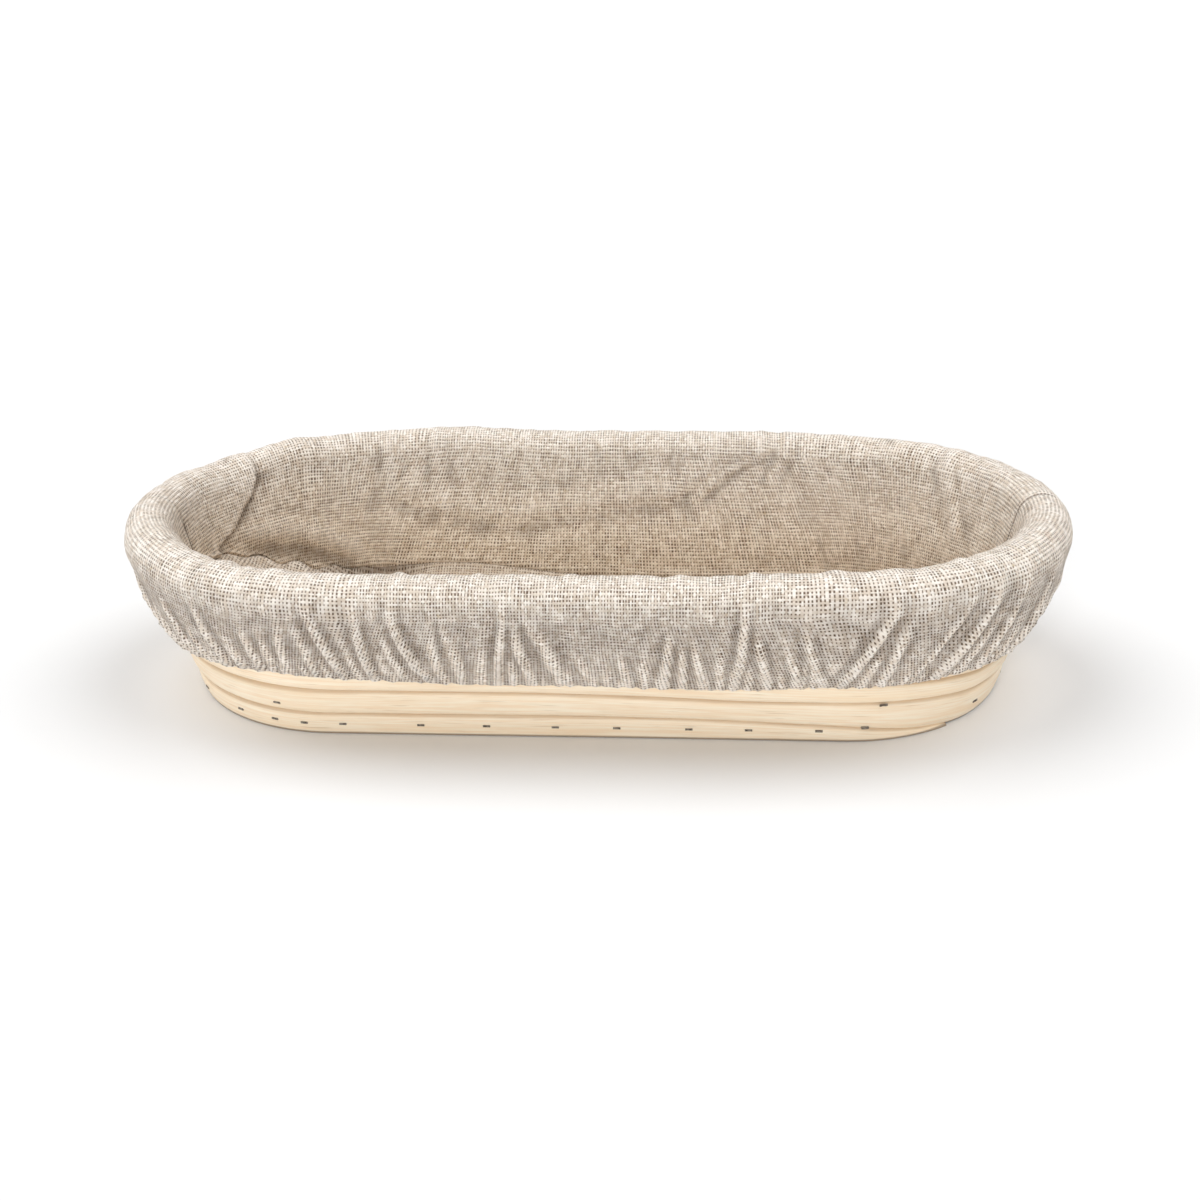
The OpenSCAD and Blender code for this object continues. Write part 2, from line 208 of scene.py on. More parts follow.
# %% Sizes of the winding, in mm
CANE_W = 10.8
CANE_T = 9.6
TURN_GAP = 0.65
PITCH = CANE_W + TURN_GAP
HALF_STRAIGHT = 91.5
WALL_TURNS = 5
SIDE_LEAN = 3.5
END_LEAN = 3.6
END_STRETCH = 0.25
RISE = math.sqrt(PITCH ** 2 - SIDE_LEAN ** 2)
TILT = math.asin(SIDE_LEAN / PITCH)
FOOT_B = 57.43
FOOT_Z = 4.49
print("rise of a turn", round(RISE, 3), "mm, wall tilt", round(math.degrees(TILT), 2), "degrees")


# %% Places on the wall
def oblong(way, straight, reach, breadth):
    leg = np.floor(way % 4)
    share = way % 4 - leg
    bend = np.pi * share
    flat = np.zeros_like(bend)
    legs = [leg == 0, leg == 1, leg == 2]
    run = 2 * straight * share - straight
    x = np.select(legs, [-run, -straight - reach * np.sin(bend), run], straight + reach * np.sin(bend))
    y = np.select(legs, [flat - breadth, -breadth * np.cos(bend), flat + breadth], breadth * np.cos(bend))
    out_x = np.select(legs, [flat, -breadth * np.sin(bend), flat], breadth * np.sin(bend))
    out_y = np.select(legs, [flat - 1, -reach * np.cos(bend), flat + 1], reach * np.cos(bend))
    size = np.hypot(out_x, out_y)
    return x, y, out_x / size, out_y / size


def wall_shape(level):
    breadth = FOOT_B + SIDE_LEAN * level
    reach = breadth * (1 + END_STRETCH * level / WALL_TURNS)
    return HALF_STRAIGHT + FOOT_B + END_LEAN * level - reach, reach, breadth


def wall_place(way, level, up, out):
    x, y, out_x, out_y = oblong(way, *wall_shape(level))
    side = up * math.sin(TILT) + out * math.cos(TILT)
    z = FOOT_Z + RISE * level + up * math.cos(TILT) - out * math.sin(TILT)
    return np.stack([x + out_x * side, y + out_y * side, z], -1)


rim = wall_place(np.array([3.5]), np.array([5.0]), np.zeros(1), np.zeros(1))[0]
print("middle of the rim at the right end:", [round(float(side), 1) for side in rim], "mm")


# %% Flat grids
def flat_grid(name, columns, rows):
    bpy.ops.object.select_all(action="DESELECT")
    bpy.ops.mesh.primitive_grid_add(x_subdivisions=columns, y_subdivisions=rows, size=2)
    piece = bpy.context.object
    piece.name = name
    piece.data.name = name
    return piece


def lay_grid(piece, places, cloth, marks=None):
    columns, rows = places.shape[0] - 1, places.shape[1] - 1
    mesh = piece.data
    flat = np.empty(3 * len(mesh.vertices))
    mesh.vertices.foreach_get("co", flat)
    flat = flat.reshape(-1, 3)
    column = np.rint((flat[:, 0] + 1) / 2 * columns).astype(int)
    row = np.rint((flat[:, 1] + 1) / 2 * rows).astype(int)
    mesh.vertices.foreach_set("co", (places[column, row] * MM).ravel())
    corner = np.empty(len(mesh.loops), dtype=np.int32)
    mesh.loops.foreach_get("vertex_index", corner)
    mesh.uv_layers[0].data.foreach_set("uv", (cloth[column, row] * MM)[corner].ravel())
    for name, values in (marks or {}).items():
        mark = mesh.attributes.new(name, "FLOAT", "POINT")
        mark.data.foreach_set("value", values[column, row].astype(np.float32))
    mesh.update()


def close_seams(piece, cap):
    bpy.ops.object.mode_set(mode="EDIT")
    bpy.ops.mesh.select_all(action="SELECT")
    bpy.ops.mesh.remove_doubles(threshold=1e-6)
    if cap:
        bpy.ops.mesh.select_all(action="SELECT")
        bpy.ops.mesh.fill_holes(sides=0)
    bpy.ops.mesh.select_all(action="SELECT")
    bpy.ops.mesh.normals_make_consistent(inside=False)
    bpy.ops.object.mode_set(mode="OBJECT")


def soft_shading(piece, degrees):
    bpy.ops.object.select_all(action="DESELECT")
    piece.select_set(True)
    bpy.context.view_layer.objects.active = piece
    bpy.ops.object.shade_smooth_by_angle(angle=math.radians(degrees))


print("grid helpers are ready")

# %% [markdown]
# ## The wound canes
# A peeled rattan cane is a long round core, squeezed almost square where the turns press on each other.
# It could be a curve with a round bevel, but its ends are shaved to long wedges, and a bevel can't do
# that. So a grid is rolled up into a tube, with a section that is a rounded rectangle and gets thinner
# along each wedge. No cane is quite straight or even, so each one also wanders by a tenth of a millimetre.
# The turns press on each other without a gap, the splices end in feathered tips, and the first turn is
# thicker at the right front, where the winding starts.

# %% How the winding climbs
CLIMB_START = -0.27
CLIMB_LEGS = 1.0
LAP_END = 0.1


def level_of(way):
    turn = np.floor((way - CLIMB_START) / 4)
    share = np.clip((way - CLIMB_START - 4 * turn) / CLIMB_LEGS, 0, 1)
    return turn - (1 - share) ** 3


def climb_way(turn, share):
    return 4 * turn + CLIMB_START + CLIMB_LEGS * (1 - (1 - share) ** (1 / 3))


def lap_way(turn, share):
    return 4 * turn + CLIMB_START + (LAP_END - CLIMB_START) * share


def lap_cut(way, turn):
    share = np.clip((way - 4 * turn - CLIMB_START) / (LAP_END - CLIMB_START), 0, 1)
    return PITCH * (0.5 - share)


print("level half way along the front of turn 1:", round(float(level_of(np.array(4.5))), 3))

# %% Rolling a cane
SECTION_ROUND = 26
SECTION_POWER = 3.4
PRESS = 0.14
PRESSED_W = PITCH + PRESS
ROUNDED = 0.9
HALF_GIRTH = ROUNDED * (CANE_W + CANE_T)
FEATHER_T = 0.3
TABLE_GAP = 0.02
GRAIN_SHIFT = 3000
CANE_WANDER = 0.13


def squarer(value):
    return np.sign(value) * np.abs(value) ** (2 / SECTION_POWER)


def wander(way, seed):
    draw = np.random.default_rng(seed)
    waves = [(draw.uniform(3, 9), draw.uniform(0, 2 * np.pi)) for _ in range(4)]
    return sum(np.sin(pace * way + start) for pace, start in waves) * CANE_WANDER / 2


def roll_cane(node, place, way, level, low, high, seed):
    name = "wound_" + node
    turn = np.linspace(0, 2 * np.pi, SECTION_ROUND + 1)
    turn[-1] = 0
    middle = ((low + high) / 2)[:, None]
    half = np.maximum((high - low) / 2, FEATHER_T / 2)[:, None]
    up = middle + half * squarer(np.cos(turn)) + 0.4 * wander(way, seed)[:, None]
    out = CANE_T / 2 * squarer(np.sin(turn)) + wander(way, seed + 50)[:, None]
    places = place(way[:, None] + 0 * up, level[:, None] + 0 * up, up, out)
    places[..., 2] = np.maximum(places[..., 2], TABLE_GAP)
    steps = np.linalg.norm(np.diff(places.mean(axis=1), axis=0), axis=1)
    run = np.concatenate([[0], np.cumsum(steps)])[:, None] + GRAIN_SHIFT * (seed % 10)
    girth = np.linspace(0, 2 * HALF_GIRTH, SECTION_ROUND + 1)[None, :]
    piece = flat_grid(name, len(way) - 1, SECTION_ROUND)
    lay_grid(piece, places, np.stack([run + 0 * girth, girth + 0 * run], -1))
    close_seams(piece, cap=True)
    soft_shading(piece, 50)
    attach(piece, "basket")
    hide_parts(node)
    print(name, len(piece.data.polygons), "faces,", round(steps.sum()), "mm of cane")
    return piece


print("pressed turn:", round(PRESSED_W, 2), "by", CANE_T, "mm")

# %% The canes of the wall
STATIONS_PER_LEG = 44
MIDDLE_START = 3
RIM_START = 5
TIP_T = 1.2
HALF_W = PRESSED_W / 2
tail_share = (CANE_W - TIP_T) / PITCH
feather_share = FEATHER_T / PITCH
LAP_GAP = -0.05
TIP_FILL = 1.4
TIP_WAY = (-0.20, -0.06)
canes = []
# way along the winding, and share of a turn that the cane is thicker there
THICK_FOOT = [(-0.14, 0), (-0.09, 0.07), (-0.03, 0.14), (0.04, 0.12), (0.12, 0.10), (0.28, 0.08), (0.7, 0)]
THICK_FIRST = [
    (3.2, 0), (3.5, 0.15), (3.7, 0.30), (3.8, 0.30), (3.88, 0.27), (3.96, 0.21), (4.03, 0.11), (4.11, 0),
    (4.2, -0.06), (4.3, -0.045), (4.6, 0),
]


def stations(first, last):
    return np.linspace(first, last, int(round((last - first) * STATIONS_PER_LEG)) + 1)


def thicker(way):
    shift = 0 * way
    for points in (THICK_FOOT, THICK_FIRST):
        ways, shares = zip(*points)
        shift = shift + PITCH * np.interp(way, ways, shares, left=0, right=0)
    return shift


way = stations(climb_way(0, 1 - tail_share), lap_way(MIDDLE_START, 1 - feather_share))
level = level_of(way)
low = np.maximum(-HALF_W, -HALF_W - level * PITCH) + thicker(way - 4)
high = np.minimum(HALF_W, lap_cut(way, MIDDLE_START) - LAP_GAP) + thicker(way)
high = high + np.interp(way, TIP_WAY, (TIP_FILL, 0))
canes.append(roll_cane("lower_wall_cane", wall_place, way, level, low, high, 1))

way = stations(lap_way(MIDDLE_START, feather_share), lap_way(RIM_START, 1 - feather_share))
low = np.maximum(-HALF_W, lap_cut(way, MIDDLE_START) + LAP_GAP)
high = np.minimum(HALF_W, lap_cut(way, RIM_START) - LAP_GAP)
canes.append(roll_cane("middle_wall_cane", wall_place, way, level_of(way), low, high, 2))

way = stations(lap_way(RIM_START, feather_share), climb_way(WALL_TURNS + 1, tail_share))
level = level_of(way)
low = np.maximum(-HALF_W, lap_cut(way, RIM_START) + LAP_GAP)
high = np.minimum(HALF_W, HALF_W - (level - WALL_TURNS) * PITCH)
canes.append(roll_cane("rim_cane", wall_place, way, level, low, high, 3))

# %% The canes of the base
BASE_TURNS = 4
NOSE_STEPS = 9
CORE_GAP = 0.1


def base_place(way, level, up, out):
    ring = level * PITCH
    x, y, out_x, out_y = oblong(way, HALF_STRAIGHT + 0 * ring, ring, ring)
    return np.stack([x + out_x * up, y + out_y * up, CANE_T / 2 - out + 0 * x], -1)


def core_place(way, level, up, out):
    x = HALF_STRAIGHT * (1 - 2 * way) - level
    return np.stack([x, up, CANE_T / 2 - out], -1)


way = stations(4.0, climb_way(5, tail_share))
level = level_of(way)
high = np.minimum(HALF_W, HALF_W - (level - BASE_TURNS) * PITCH)
canes.append(roll_cane("base_coil", base_place, way, level, -HALF_W + 0 * way, high, 4))

slip = np.linspace(0, 1, STATIONS_PER_LEG)
nose = np.linspace(0, 0.49 * np.pi, NOSE_STEPS)[1:]
climb = 1 - (1 - np.clip((slip - CLIMB_START) / CLIMB_LEGS, 0, 1)) ** 3
low = HALF_W + CORE_GAP - PITCH * climb
low = np.concatenate([np.maximum(low, -HALF_W), -HALF_W * np.cos(nose)])
high = np.concatenate([HALF_W + 0 * slip, HALF_W * np.cos(nose)])
way = np.concatenate([slip, 1 + 0 * nose])
past_end = np.concatenate([0 * slip, HALF_W * np.sin(nose)])
canes.append(roll_cane("base_core", core_place, way, past_end, low, high, 5))

# %% [markdown]
# ## The look of peeled cane
# Peeled rattan is cream with fine tan lines along it, where the cane's tubes are cut open, and a broader
# drift of tone. Wood has rings, which a wave texture could give, but cane has none. So noise is stretched
# along the cane's own length, which the UV map holds in metres, and the thin dark streaks are its peaks.
# The edges where turns meet get painted shade, a brown that stands for the shade in the cracks between the
# turns, and the lowest edge gets a painted contact shadow where it meets the table.


# %% Helpers for patterns
def vector_sums(tree, operation, *values):
    node = new_node(tree, "ShaderNodeVectorMath", operation=operation)
    for socket, value in enumerate(values):
        feed(tree, node, "Scale" if operation == "SCALE" and socket == 1 else socket, value)
    return node.outputs[0]


def noise(tree, place, scale, detail=2.0, roughness=0.5):
    node = new_node(tree, "ShaderNodeTexNoise")
    feed(tree, node, "Vector", place)
    feed(tree, node, "Scale", scale)
    feed(tree, node, "Detail", detail)
    feed(tree, node, "Roughness", roughness)
    return node


print("helpers for patterns are ready")

# %% Cane tone
FIBRE_STRETCH = (34, 1500, 1)
TUBE_STRETCH = (60, 2600, 1)
DRIFT_STRETCH = (9, 130, 1)
CONTACT_SHADOW_Z = (0.5 * MM, 1.3 * MM)
TAN_FIBRE = (0.92, 0.74, 0.53, 1)
PALE_FIBRE = (0.97, 0.86, 0.685, 1)
TAN_DRIFT = (0.90, 0.735, 0.52, 1)
JOINT_SHADE = (0.52, 0.33, 0.17, 1)
CONTACT_SHADOW = (0.22, 0.155, 0.10, 1)
PORE_BROWN = (0.52, 0.33, 0.16, 1)
cane_finish, tree, shader = new_material("peeled_cane")
uv = new_node(tree, "ShaderNodeUVMap")
along = vector_sums(tree, "MULTIPLY", uv.outputs[0], FIBRE_STRETCH)
fibre = noise(tree, along, 1.0, detail=3.0, roughness=0.6).outputs["Fac"]
along = vector_sums(tree, "MULTIPLY", uv.outputs[0], TUBE_STRETCH)
tube = noise(tree, along, 1.0, detail=1.0).outputs["Fac"]
along = vector_sums(tree, "MULTIPLY", uv.outputs[0], DRIFT_STRETCH)
drift = noise(tree, along, 1.0, detail=2.0).outputs["Fac"]
tone = blended(tree, ramped(tree, fibre, 0.34, 0.66), TAN_FIBRE, PALE_FIBRE)
tone = blended(tree, ramped(tree, drift, 0.55, 0.75, 0.0, 0.45), tone, TAN_DRIFT)
girth = new_node(tree, "ShaderNodeSeparateXYZ")
feed(tree, girth, 0, uv.outputs[0])
# painted shade: the cane turns brown towards the edges where the turns meet, for the shade in the cracks
side = sums(tree, "FRACT", sums(tree, "DIVIDE", girth.outputs[1], HALF_GIRTH * MM))
joint_shade = ramped(tree, sums(tree, "ABSOLUTE", sums(tree, "SUBTRACT", side, 0.5)), 0.23, 0.32, 0.0, 0.45)
tone = blended(tree, joint_shade, tone, JOINT_SHADE)
# painted contact shadow: the cane is darkened in its lowest 0.5 to 1.3 mm, where it meets the table
height = new_node(tree, "ShaderNodeSeparateXYZ")
feed(tree, height, 0, new_node(tree, "ShaderNodeTexCoord").outputs["Object"])
contact_shadow = ramped(tree, height.outputs[2], *CONTACT_SHADOW_Z, 0.8, 0.0)
tone = blended(tree, contact_shadow, tone, CONTACT_SHADOW)
pores = ramped(tree, tube, 0.64, 0.74)
tone = blended(tree, sums(tree, "MULTIPLY", pores, 0.4), tone, PORE_BROWN)
feed(tree, shader, "Base Color", tone)
print("cane tone:", len(tree.nodes), "nodes")


# %% Cane gloss and relief
def emboss(tree, shader, height, depth, strength=1.0):
    bump = new_node(tree, "ShaderNodeBump")
    feed(tree, bump, "Height", height)
    feed(tree, bump, "Distance", depth)
    feed(tree, bump, "Strength", strength)
    feed(tree, shader, "Normal", bump.outputs["Normal"])


def coat(piece, finish):
    piece.data.materials.clear()
    piece.data.materials.append(finish)


feed(tree, shader, "Roughness", ramped(tree, fibre, 0.3, 0.7, 0.62, 0.48))
feed(tree, shader, "Specular IOR Level", 0.35)
relief = sums(tree, "SUBTRACT", fibre, sums(tree, "MULTIPLY", pores, 0.5))
emboss(tree, shader, relief, 0.25 * MM, strength=0.5)
for piece in canes:
    coat(piece, cane_finish)
print("cane finish on", len(canes), "canes")

# %% [markdown]
# ## The staples
# Thin flattened wire staples hold the turns. Their solids already have the right shape, so they stay and
# only get a finish: dull galvanised wire, a little blotchy, grey where it is rubbed and dark elsewhere.

# %% Staple material
DARK_WIRE = (0.11, 0.09, 0.07, 1)
RUBBED_WIRE = (0.29, 0.26, 0.22, 1)
wire_finish, tree, shader = new_material("dull_wire")
spot = new_node(tree, "ShaderNodeTexCoord").outputs["Object"]
blotch = noise(tree, spot, 900.0, detail=3.0).outputs["Fac"]
tone = blended(tree, ramped(tree, blotch, 0.35, 0.65), DARK_WIRE, RUBBED_WIRE)
feed(tree, shader, "Base Color", tone)
feed(tree, shader, "Roughness", ramped(tree, blotch, 0.3, 0.7, 0.6, 0.4))
feed(tree, shader, "Metallic", 0.6)
STAPLES = ["base_staples", "foot_staples", "lower_wall_staples", "middle_wall_staples", "rim_staples",
           "toe_staples"]
for node in STAPLES:
    coat(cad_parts[node], wire_finish)
print("wire finish on", len(STAPLES), "rows of staples")

# %% [markdown]
# ## The weave
# The liner is coarse undyed linen: uneven threads, over and under, with open holes between them. Modelling
# each thread would take millions of faces. So a shader node group draws the threads from the UV map, which
# is in metres of cloth: it puts out where a thread is, how high it rises and how light it is. The linen
# itself adds pale slubs, painted shade in the holes and where the threads dip under, and two marks that the
# cloth carries: one paints shade in the valleys of its folds and highlights on their crests, and the other
# paints shade and warm bounced light on the inside, more towards its floor.

# %% Woven threads, a node group
SWAY_STRETCHES = ((95, 26, 1), (26, 95, 1))
SWAY_REACH = 0.0021
THREAD_EDGE = (0.07, 0.09)
weave = bpy.data.node_groups.new("woven_threads", "ShaderNodeTree")
weave.interface.new_socket("Place", in_out="INPUT", socket_type="NodeSocketVector")
weave.interface.new_socket("Threads per metre", in_out="INPUT", socket_type="NodeSocketFloat")
weave.interface.new_socket("Thread width", in_out="INPUT", socket_type="NodeSocketFloat")
weave.interface.new_socket("Thread", in_out="OUTPUT", socket_type="NodeSocketFloat")
weave.interface.new_socket("Height", in_out="OUTPUT", socket_type="NodeSocketFloat")
weave.interface.new_socket("Tone", in_out="OUTPUT", socket_type="NodeSocketFloat")
tree = weave
given = new_node(tree, "NodeGroupInput")
made = new_node(tree, "NodeGroupOutput")
sway = new_node(tree, "ShaderNodeCombineXYZ")
for side, stretch in enumerate(SWAY_STRETCHES):
    spot = vector_sums(tree, "MULTIPLY_ADD", given.outputs["Place"], stretch, (7.7 * side, 3.1, 0))
    feed(tree, sway, side, sums(tree, "SUBTRACT", noise(tree, spot, 1.0).outputs["Fac"], 0.5))
sway = vector_sums(tree, "SCALE", sway.outputs[0], SWAY_REACH)
count = vector_sums(tree, "SCALE", vector_sums(tree, "ADD", given.outputs["Place"], sway),
                    given.outputs["Threads per metre"])
hole = new_node(tree, "ShaderNodeTexWhiteNoise", noise_dimensions="3D")
feed(tree, hole, "Vector", vector_sums(tree, "FLOOR", vector_sums(tree, "ADD", count, (0.5, 0.5, 0.5))))
patch = noise(tree, given.outputs["Place"], 150.0).outputs["Fac"]
rare = sums(tree, "MULTIPLY", sums(tree, "POWER", hole.outputs["Value"], 12.0), -0.7)
loose = sums(tree, "ADD", sums(tree, "MULTIPLY_ADD", hole.outputs["Value"], 0.35, rare),
             ramped(tree, patch, 0.3, 0.7, -0.25, -0.05))
loose = sums(tree, "MULTIPLY", loose, sums(tree, "SUBTRACT", 0.5, given.outputs["Thread width"]))
thread_width = sums(tree, "ADD", given.outputs["Thread width"], loose)
parts = new_node(tree, "ShaderNodeSeparateXYZ")
feed(tree, parts, 0, count)
print("places of the threads:", len(tree.nodes), "nodes")


# %% Two sets of threads
def thread_set(across, along, shift, fuller):
    number = sums(tree, "FLOOR", across)
    middle = sums(tree, "ABSOLUTE", sums(tree, "SUBTRACT", sums(tree, "FRACT", across), 0.5))
    spot = new_node(tree, "ShaderNodeCombineXYZ")
    feed(tree, spot, 0, sums(tree, "MULTIPLY_ADD", number, 7.31, shift))
    feed(tree, spot, 1, sums(tree, "MULTIPLY", along, 0.27))
    feed(tree, spot, 2, shift)
    slub = noise(tree, spot.outputs[0], 1.0, detail=2.0)
    swell = ramped(tree, slub.outputs["Fac"], 0.3, 0.7, fuller - 0.09, fuller + 0.10)
    wide = sums(tree, "ADD", thread_width, swell)
    outer = sums(tree, "ADD", wide, THREAD_EDGE[0])
    mask = ramped(tree, middle, outer, sums(tree, "SUBTRACT", wide, THREAD_EDGE[1]))
    share = sums(tree, "DIVIDE", middle, outer)
    crown = sums(tree, "SUBTRACT", 1.0, sums(tree, "MULTIPLY", share, share))
    phase = sums(tree, "MULTIPLY", sums(tree, "ADD", sums(tree, "SUBTRACT", along, 0.5), number), math.pi)
    over = sums(tree, "MULTIPLY_ADD", sums(tree, "COSINE", phase), 0.5, 0.5)
    parts_of_tone = new_node(tree, "ShaderNodeSeparateColor")
    feed(tree, parts_of_tone, 0, slub.outputs["Color"])
    return mask, crown, over, parts_of_tone.outputs[1]


warp = thread_set(parts.outputs[0], parts.outputs[1], shift=3.7, fuller=0.035)
weft = thread_set(parts.outputs[1], parts.outputs[0], shift=41.3, fuller=-0.025)
print("warp and weft:", len(tree.nodes), "nodes")

# %% Over and under
weft_over = sums(tree, "SUBTRACT", 1.0, weft[2])
heights = []
for mask, crown, over in ((warp[0], warp[1], warp[2]), (weft[0], weft[1], weft_over)):
    lift = sums(tree, "MULTIPLY_ADD", over, 0.5, 0.5)
    heights.append(sums(tree, "MULTIPLY", sums(tree, "MULTIPLY", crown, lift), mask))
thread = sums(tree, "MAXIMUM", warp[0], weft[0])
on_top = sums(tree, "GREATER_THAN", heights[0], heights[1])
tone = new_node(tree, "ShaderNodeMix", data_type="FLOAT")
feed(tree, tone, 0, on_top)
feed(tree, tone, 2, weft[3])
feed(tree, tone, 3, warp[3])
knot = new_node(tree, "ShaderNodeTexWhiteNoise", noise_dimensions="3D")
feed(tree, knot, "Vector", vector_sums(tree, "FLOOR", count))
off_middle = sums(tree, "SUBTRACT", knot.outputs["Value"], 0.5)
uneven = sums(tree, "MULTIPLY_ADD", off_middle, 0.34, tone.outputs[0])
feed(tree, made, "Thread", thread)
feed(tree, made, "Height", sums(tree, "MAXIMUM", heights[0], heights[1]))
feed(tree, made, "Tone", uneven)
print("woven threads:", len(tree.nodes), "nodes")


# %% Linen threads
def woven(tree, threads, width, spacing=(1, 1, 1)):
    group = new_node(tree, "ShaderNodeGroup", node_tree=weave)
    place = new_node(tree, "ShaderNodeUVMap").outputs[0]
    feed(tree, group, "Place", vector_sums(tree, "MULTIPLY", place, spacing))
    feed(tree, group, "Threads per metre", threads)
    feed(tree, group, "Thread width", width)
    return group


THREADS_PER_METRE = 880.0
THREAD_WIDTH = 0.31
WEFT_SPACING = (1.0, 0.83, 1)
SLUB_STRETCHES = ((620, 40, 1), (45, 540, 1))
DARK_THREAD = (0.71, 0.61, 0.51, 1)
PALE_THREAD = (0.93, 0.868, 0.80, 1)
FLAX_SPECK = (0.60, 0.46, 0.26, 1)
PALE_SLUB = (0.96, 0.91, 0.84, 1)
SUNK_THREAD_SHADE = (0.44, 0.335, 0.24, 1)
HOLE_SHADE = (0.15, 0.105, 0.07, 1)
linen_finish, tree, shader = new_material("undyed_linen")
cloth = woven(tree, THREADS_PER_METRE, THREAD_WIDTH, WEFT_SPACING)
light = ramped(tree, cloth.outputs["Tone"], 0.25, 0.75)
tone = blended(tree, light, DARK_THREAD, PALE_THREAD)
uv = new_node(tree, "ShaderNodeUVMap").outputs[0]
flax = ramped(tree, noise(tree, uv, 260.0, detail=3.0).outputs["Fac"], 0.68, 0.76, 0.0, 0.6)
tone = blended(tree, flax, tone, FLAX_SPECK)
for stretch in SLUB_STRETCHES:
    spot = vector_sums(tree, "MULTIPLY", uv, stretch)
    slub = ramped(tree, noise(tree, spot, 1.0).outputs["Fac"], 0.58, 0.72, 0.0, 0.55)
    tone = blended(tree, slub, tone, PALE_SLUB)
# painted shade: threads darken where they dip under a crossing thread
sunk_shade = ramped(tree, cloth.outputs["Height"], 0.1, 0.65, 0.5, 0.0)
tone = blended(tree, sunk_shade, tone, SUNK_THREAD_SHADE)
# painted shade: the holes between the threads get a dark brown for the shade behind the cloth
tone = blended(tree, cloth.outputs["Thread"], HOLE_SHADE, tone)
print("linen threads:", len(tree.nodes), "nodes")

# %% Painted light and shade on the linen
INSIDE_SHADE_TINT = (0.90, 0.82, 0.71, 1)
CREST_HIGHLIGHT = (0.95, 0.90, 0.84, 1)
FOLD_VALLEY_SHADE = (0.50, 0.475, 0.455, 1)
SEAM_LINE_SHADE = (0.40, 0.34, 0.29, 1)
# painted shade and warm bounced light inside the liner, more towards the floor, from the mark read here
inside_shade = new_node(tree, "ShaderNodeAttribute", attribute_name="inside_shade").outputs["Fac"]
tone = blended(tree, inside_shade, tone, INSIDE_SHADE_TINT, "MULTIPLY")
# painted highlight on crests and painted shade in valleys, by how far the cloth stands out of or sinks below
# its neighbours
relief = new_node(tree, "ShaderNodeAttribute", attribute_name="painted_light_and_shade").outputs["Fac"]
tone = blended(tree, ramped(tree, relief, 0.1, 1.0, 0.0, 0.32), tone, CREST_HIGHLIGHT)
shade = ramped(tree, relief, -0.05, -1.0, smooth=False)
tone = blended(tree, shade, tone, FOLD_VALLEY_SHADE, "MULTIPLY")
# painted shadow line along the end seams, where the mark sinks furthest
tone = blended(tree, ramped(tree, relief, -1.1, -2.0), tone, SEAM_LINE_SHADE, "MULTIPLY")
feed(tree, shader, "Base Color", tone)
print("linen tone:", len(tree.nodes), "nodes")

# %% Linen sheen and relief
feed(tree, shader, "Roughness", ramped(tree, cloth.outputs["Height"], 0.0, 1.0, 0.98, 0.82))
feed(tree, shader, "Specular IOR Level", 0.15)
feed(tree, shader, "Sheen Weight", 0.12)
feed(tree, shader, "Sheen Roughness", 0.5)
emboss(tree, shader, cloth.outputs["Height"], 0.45 * MM, strength=0.8)
print("linen finish:", len(tree.nodes), "nodes")

# %% [markdown]
# ## The liner's panels
# The front and the back of the liner are one piece of cloth each. From the floor seam a panel goes up the
# inside, rolls over the rim, hangs down outside as a skirt and turns under at the hem. A cloth simulation
# would give folds, but not these folds. So the panel is a grid laid along that path, and each fold is a
# ridge along its own line, listed by where it starts at the rim and where it ends at the hem. The front
# panel lies over the back one at the two end seams, so its edge there is the crisp one.

# %% Sizes of the cloth, in mm
# the five parts of a panel, from the floor seam to its turned-in end
WALL, ROLL, SKIRT, HEM, TURNED = range(5)
FLOOR_LEVEL = 0.32
HEM_LEVEL = 2.30
WALL_OUT = 6.5
ROLL_R = 9.1
HEM_OUT = 7.0
HEM_R = 0.8
TUCK = 7.0
SKIRT_BELLY = 1.5
WALL_ROWS = 28
ROLL_ROWS = 18
SKIRT_ROWS = 38
HEM_ROWS = 5
TUCK_ROWS = 2
print("cloth from level", FLOOR_LEVEL, "up to", WALL_TURNS, "and down to", HEM_LEVEL)


# %% The floor seam and the hem
def bump_at(value, middle, width):
    return np.exp(-((value - middle) / width) ** 2)


def eased(value, low, high):
    share = np.clip((value - low) / (high - low), 0, 1)
    return share * share * (3 - 2 * share)


LEFT_SEAM = 1.5
SEAM_REST = 0.25
SEAM_LUMPS = 0.13
# way, width along it, and height in turns of each rise of the floor seam
SEAM_RISES = [(1.52, 0.25, 2.35), (2.15, 0.22, 0.50)]


def seam_lift(way):
    turn = way % 4
    lumps = SEAM_LUMPS * np.sin(75 * turn) * bump_at(turn, 1.78, 0.15)
    rises = sum(height * bump_at(turn, middle, width) for middle, width, height in SEAM_RISES)
    return SEAM_REST + rises + lumps


# way round the basket, and turns that the hem is higher there
HEM_DRIFT = [
    (0.01, 0), (0.14, -0.14), (0.27, -0.16), (0.45, -0.06), (0.70, -0.06), (0.88, 0.02), (1.04, 0.16),
    (1.11, 0.17), (1.19, 0.0), (1.29, -0.14), (1.6, 0), (2.0, 0.05), (2.3, -0.06), (2.6, 0.05), (3.0, -0.05),
    (3.4, 0), (3.69, -0.19), (3.80, -0.09), (3.95, -0.03),
]


def hem_drift(way):
    ways, levels = zip(*HEM_DRIFT)
    return np.interp(way % 4, ways, levels, period=4)


print("floor seam rises by", round(float(seam_lift(np.array(LEFT_SEAM))), 2), "turns at the left end")


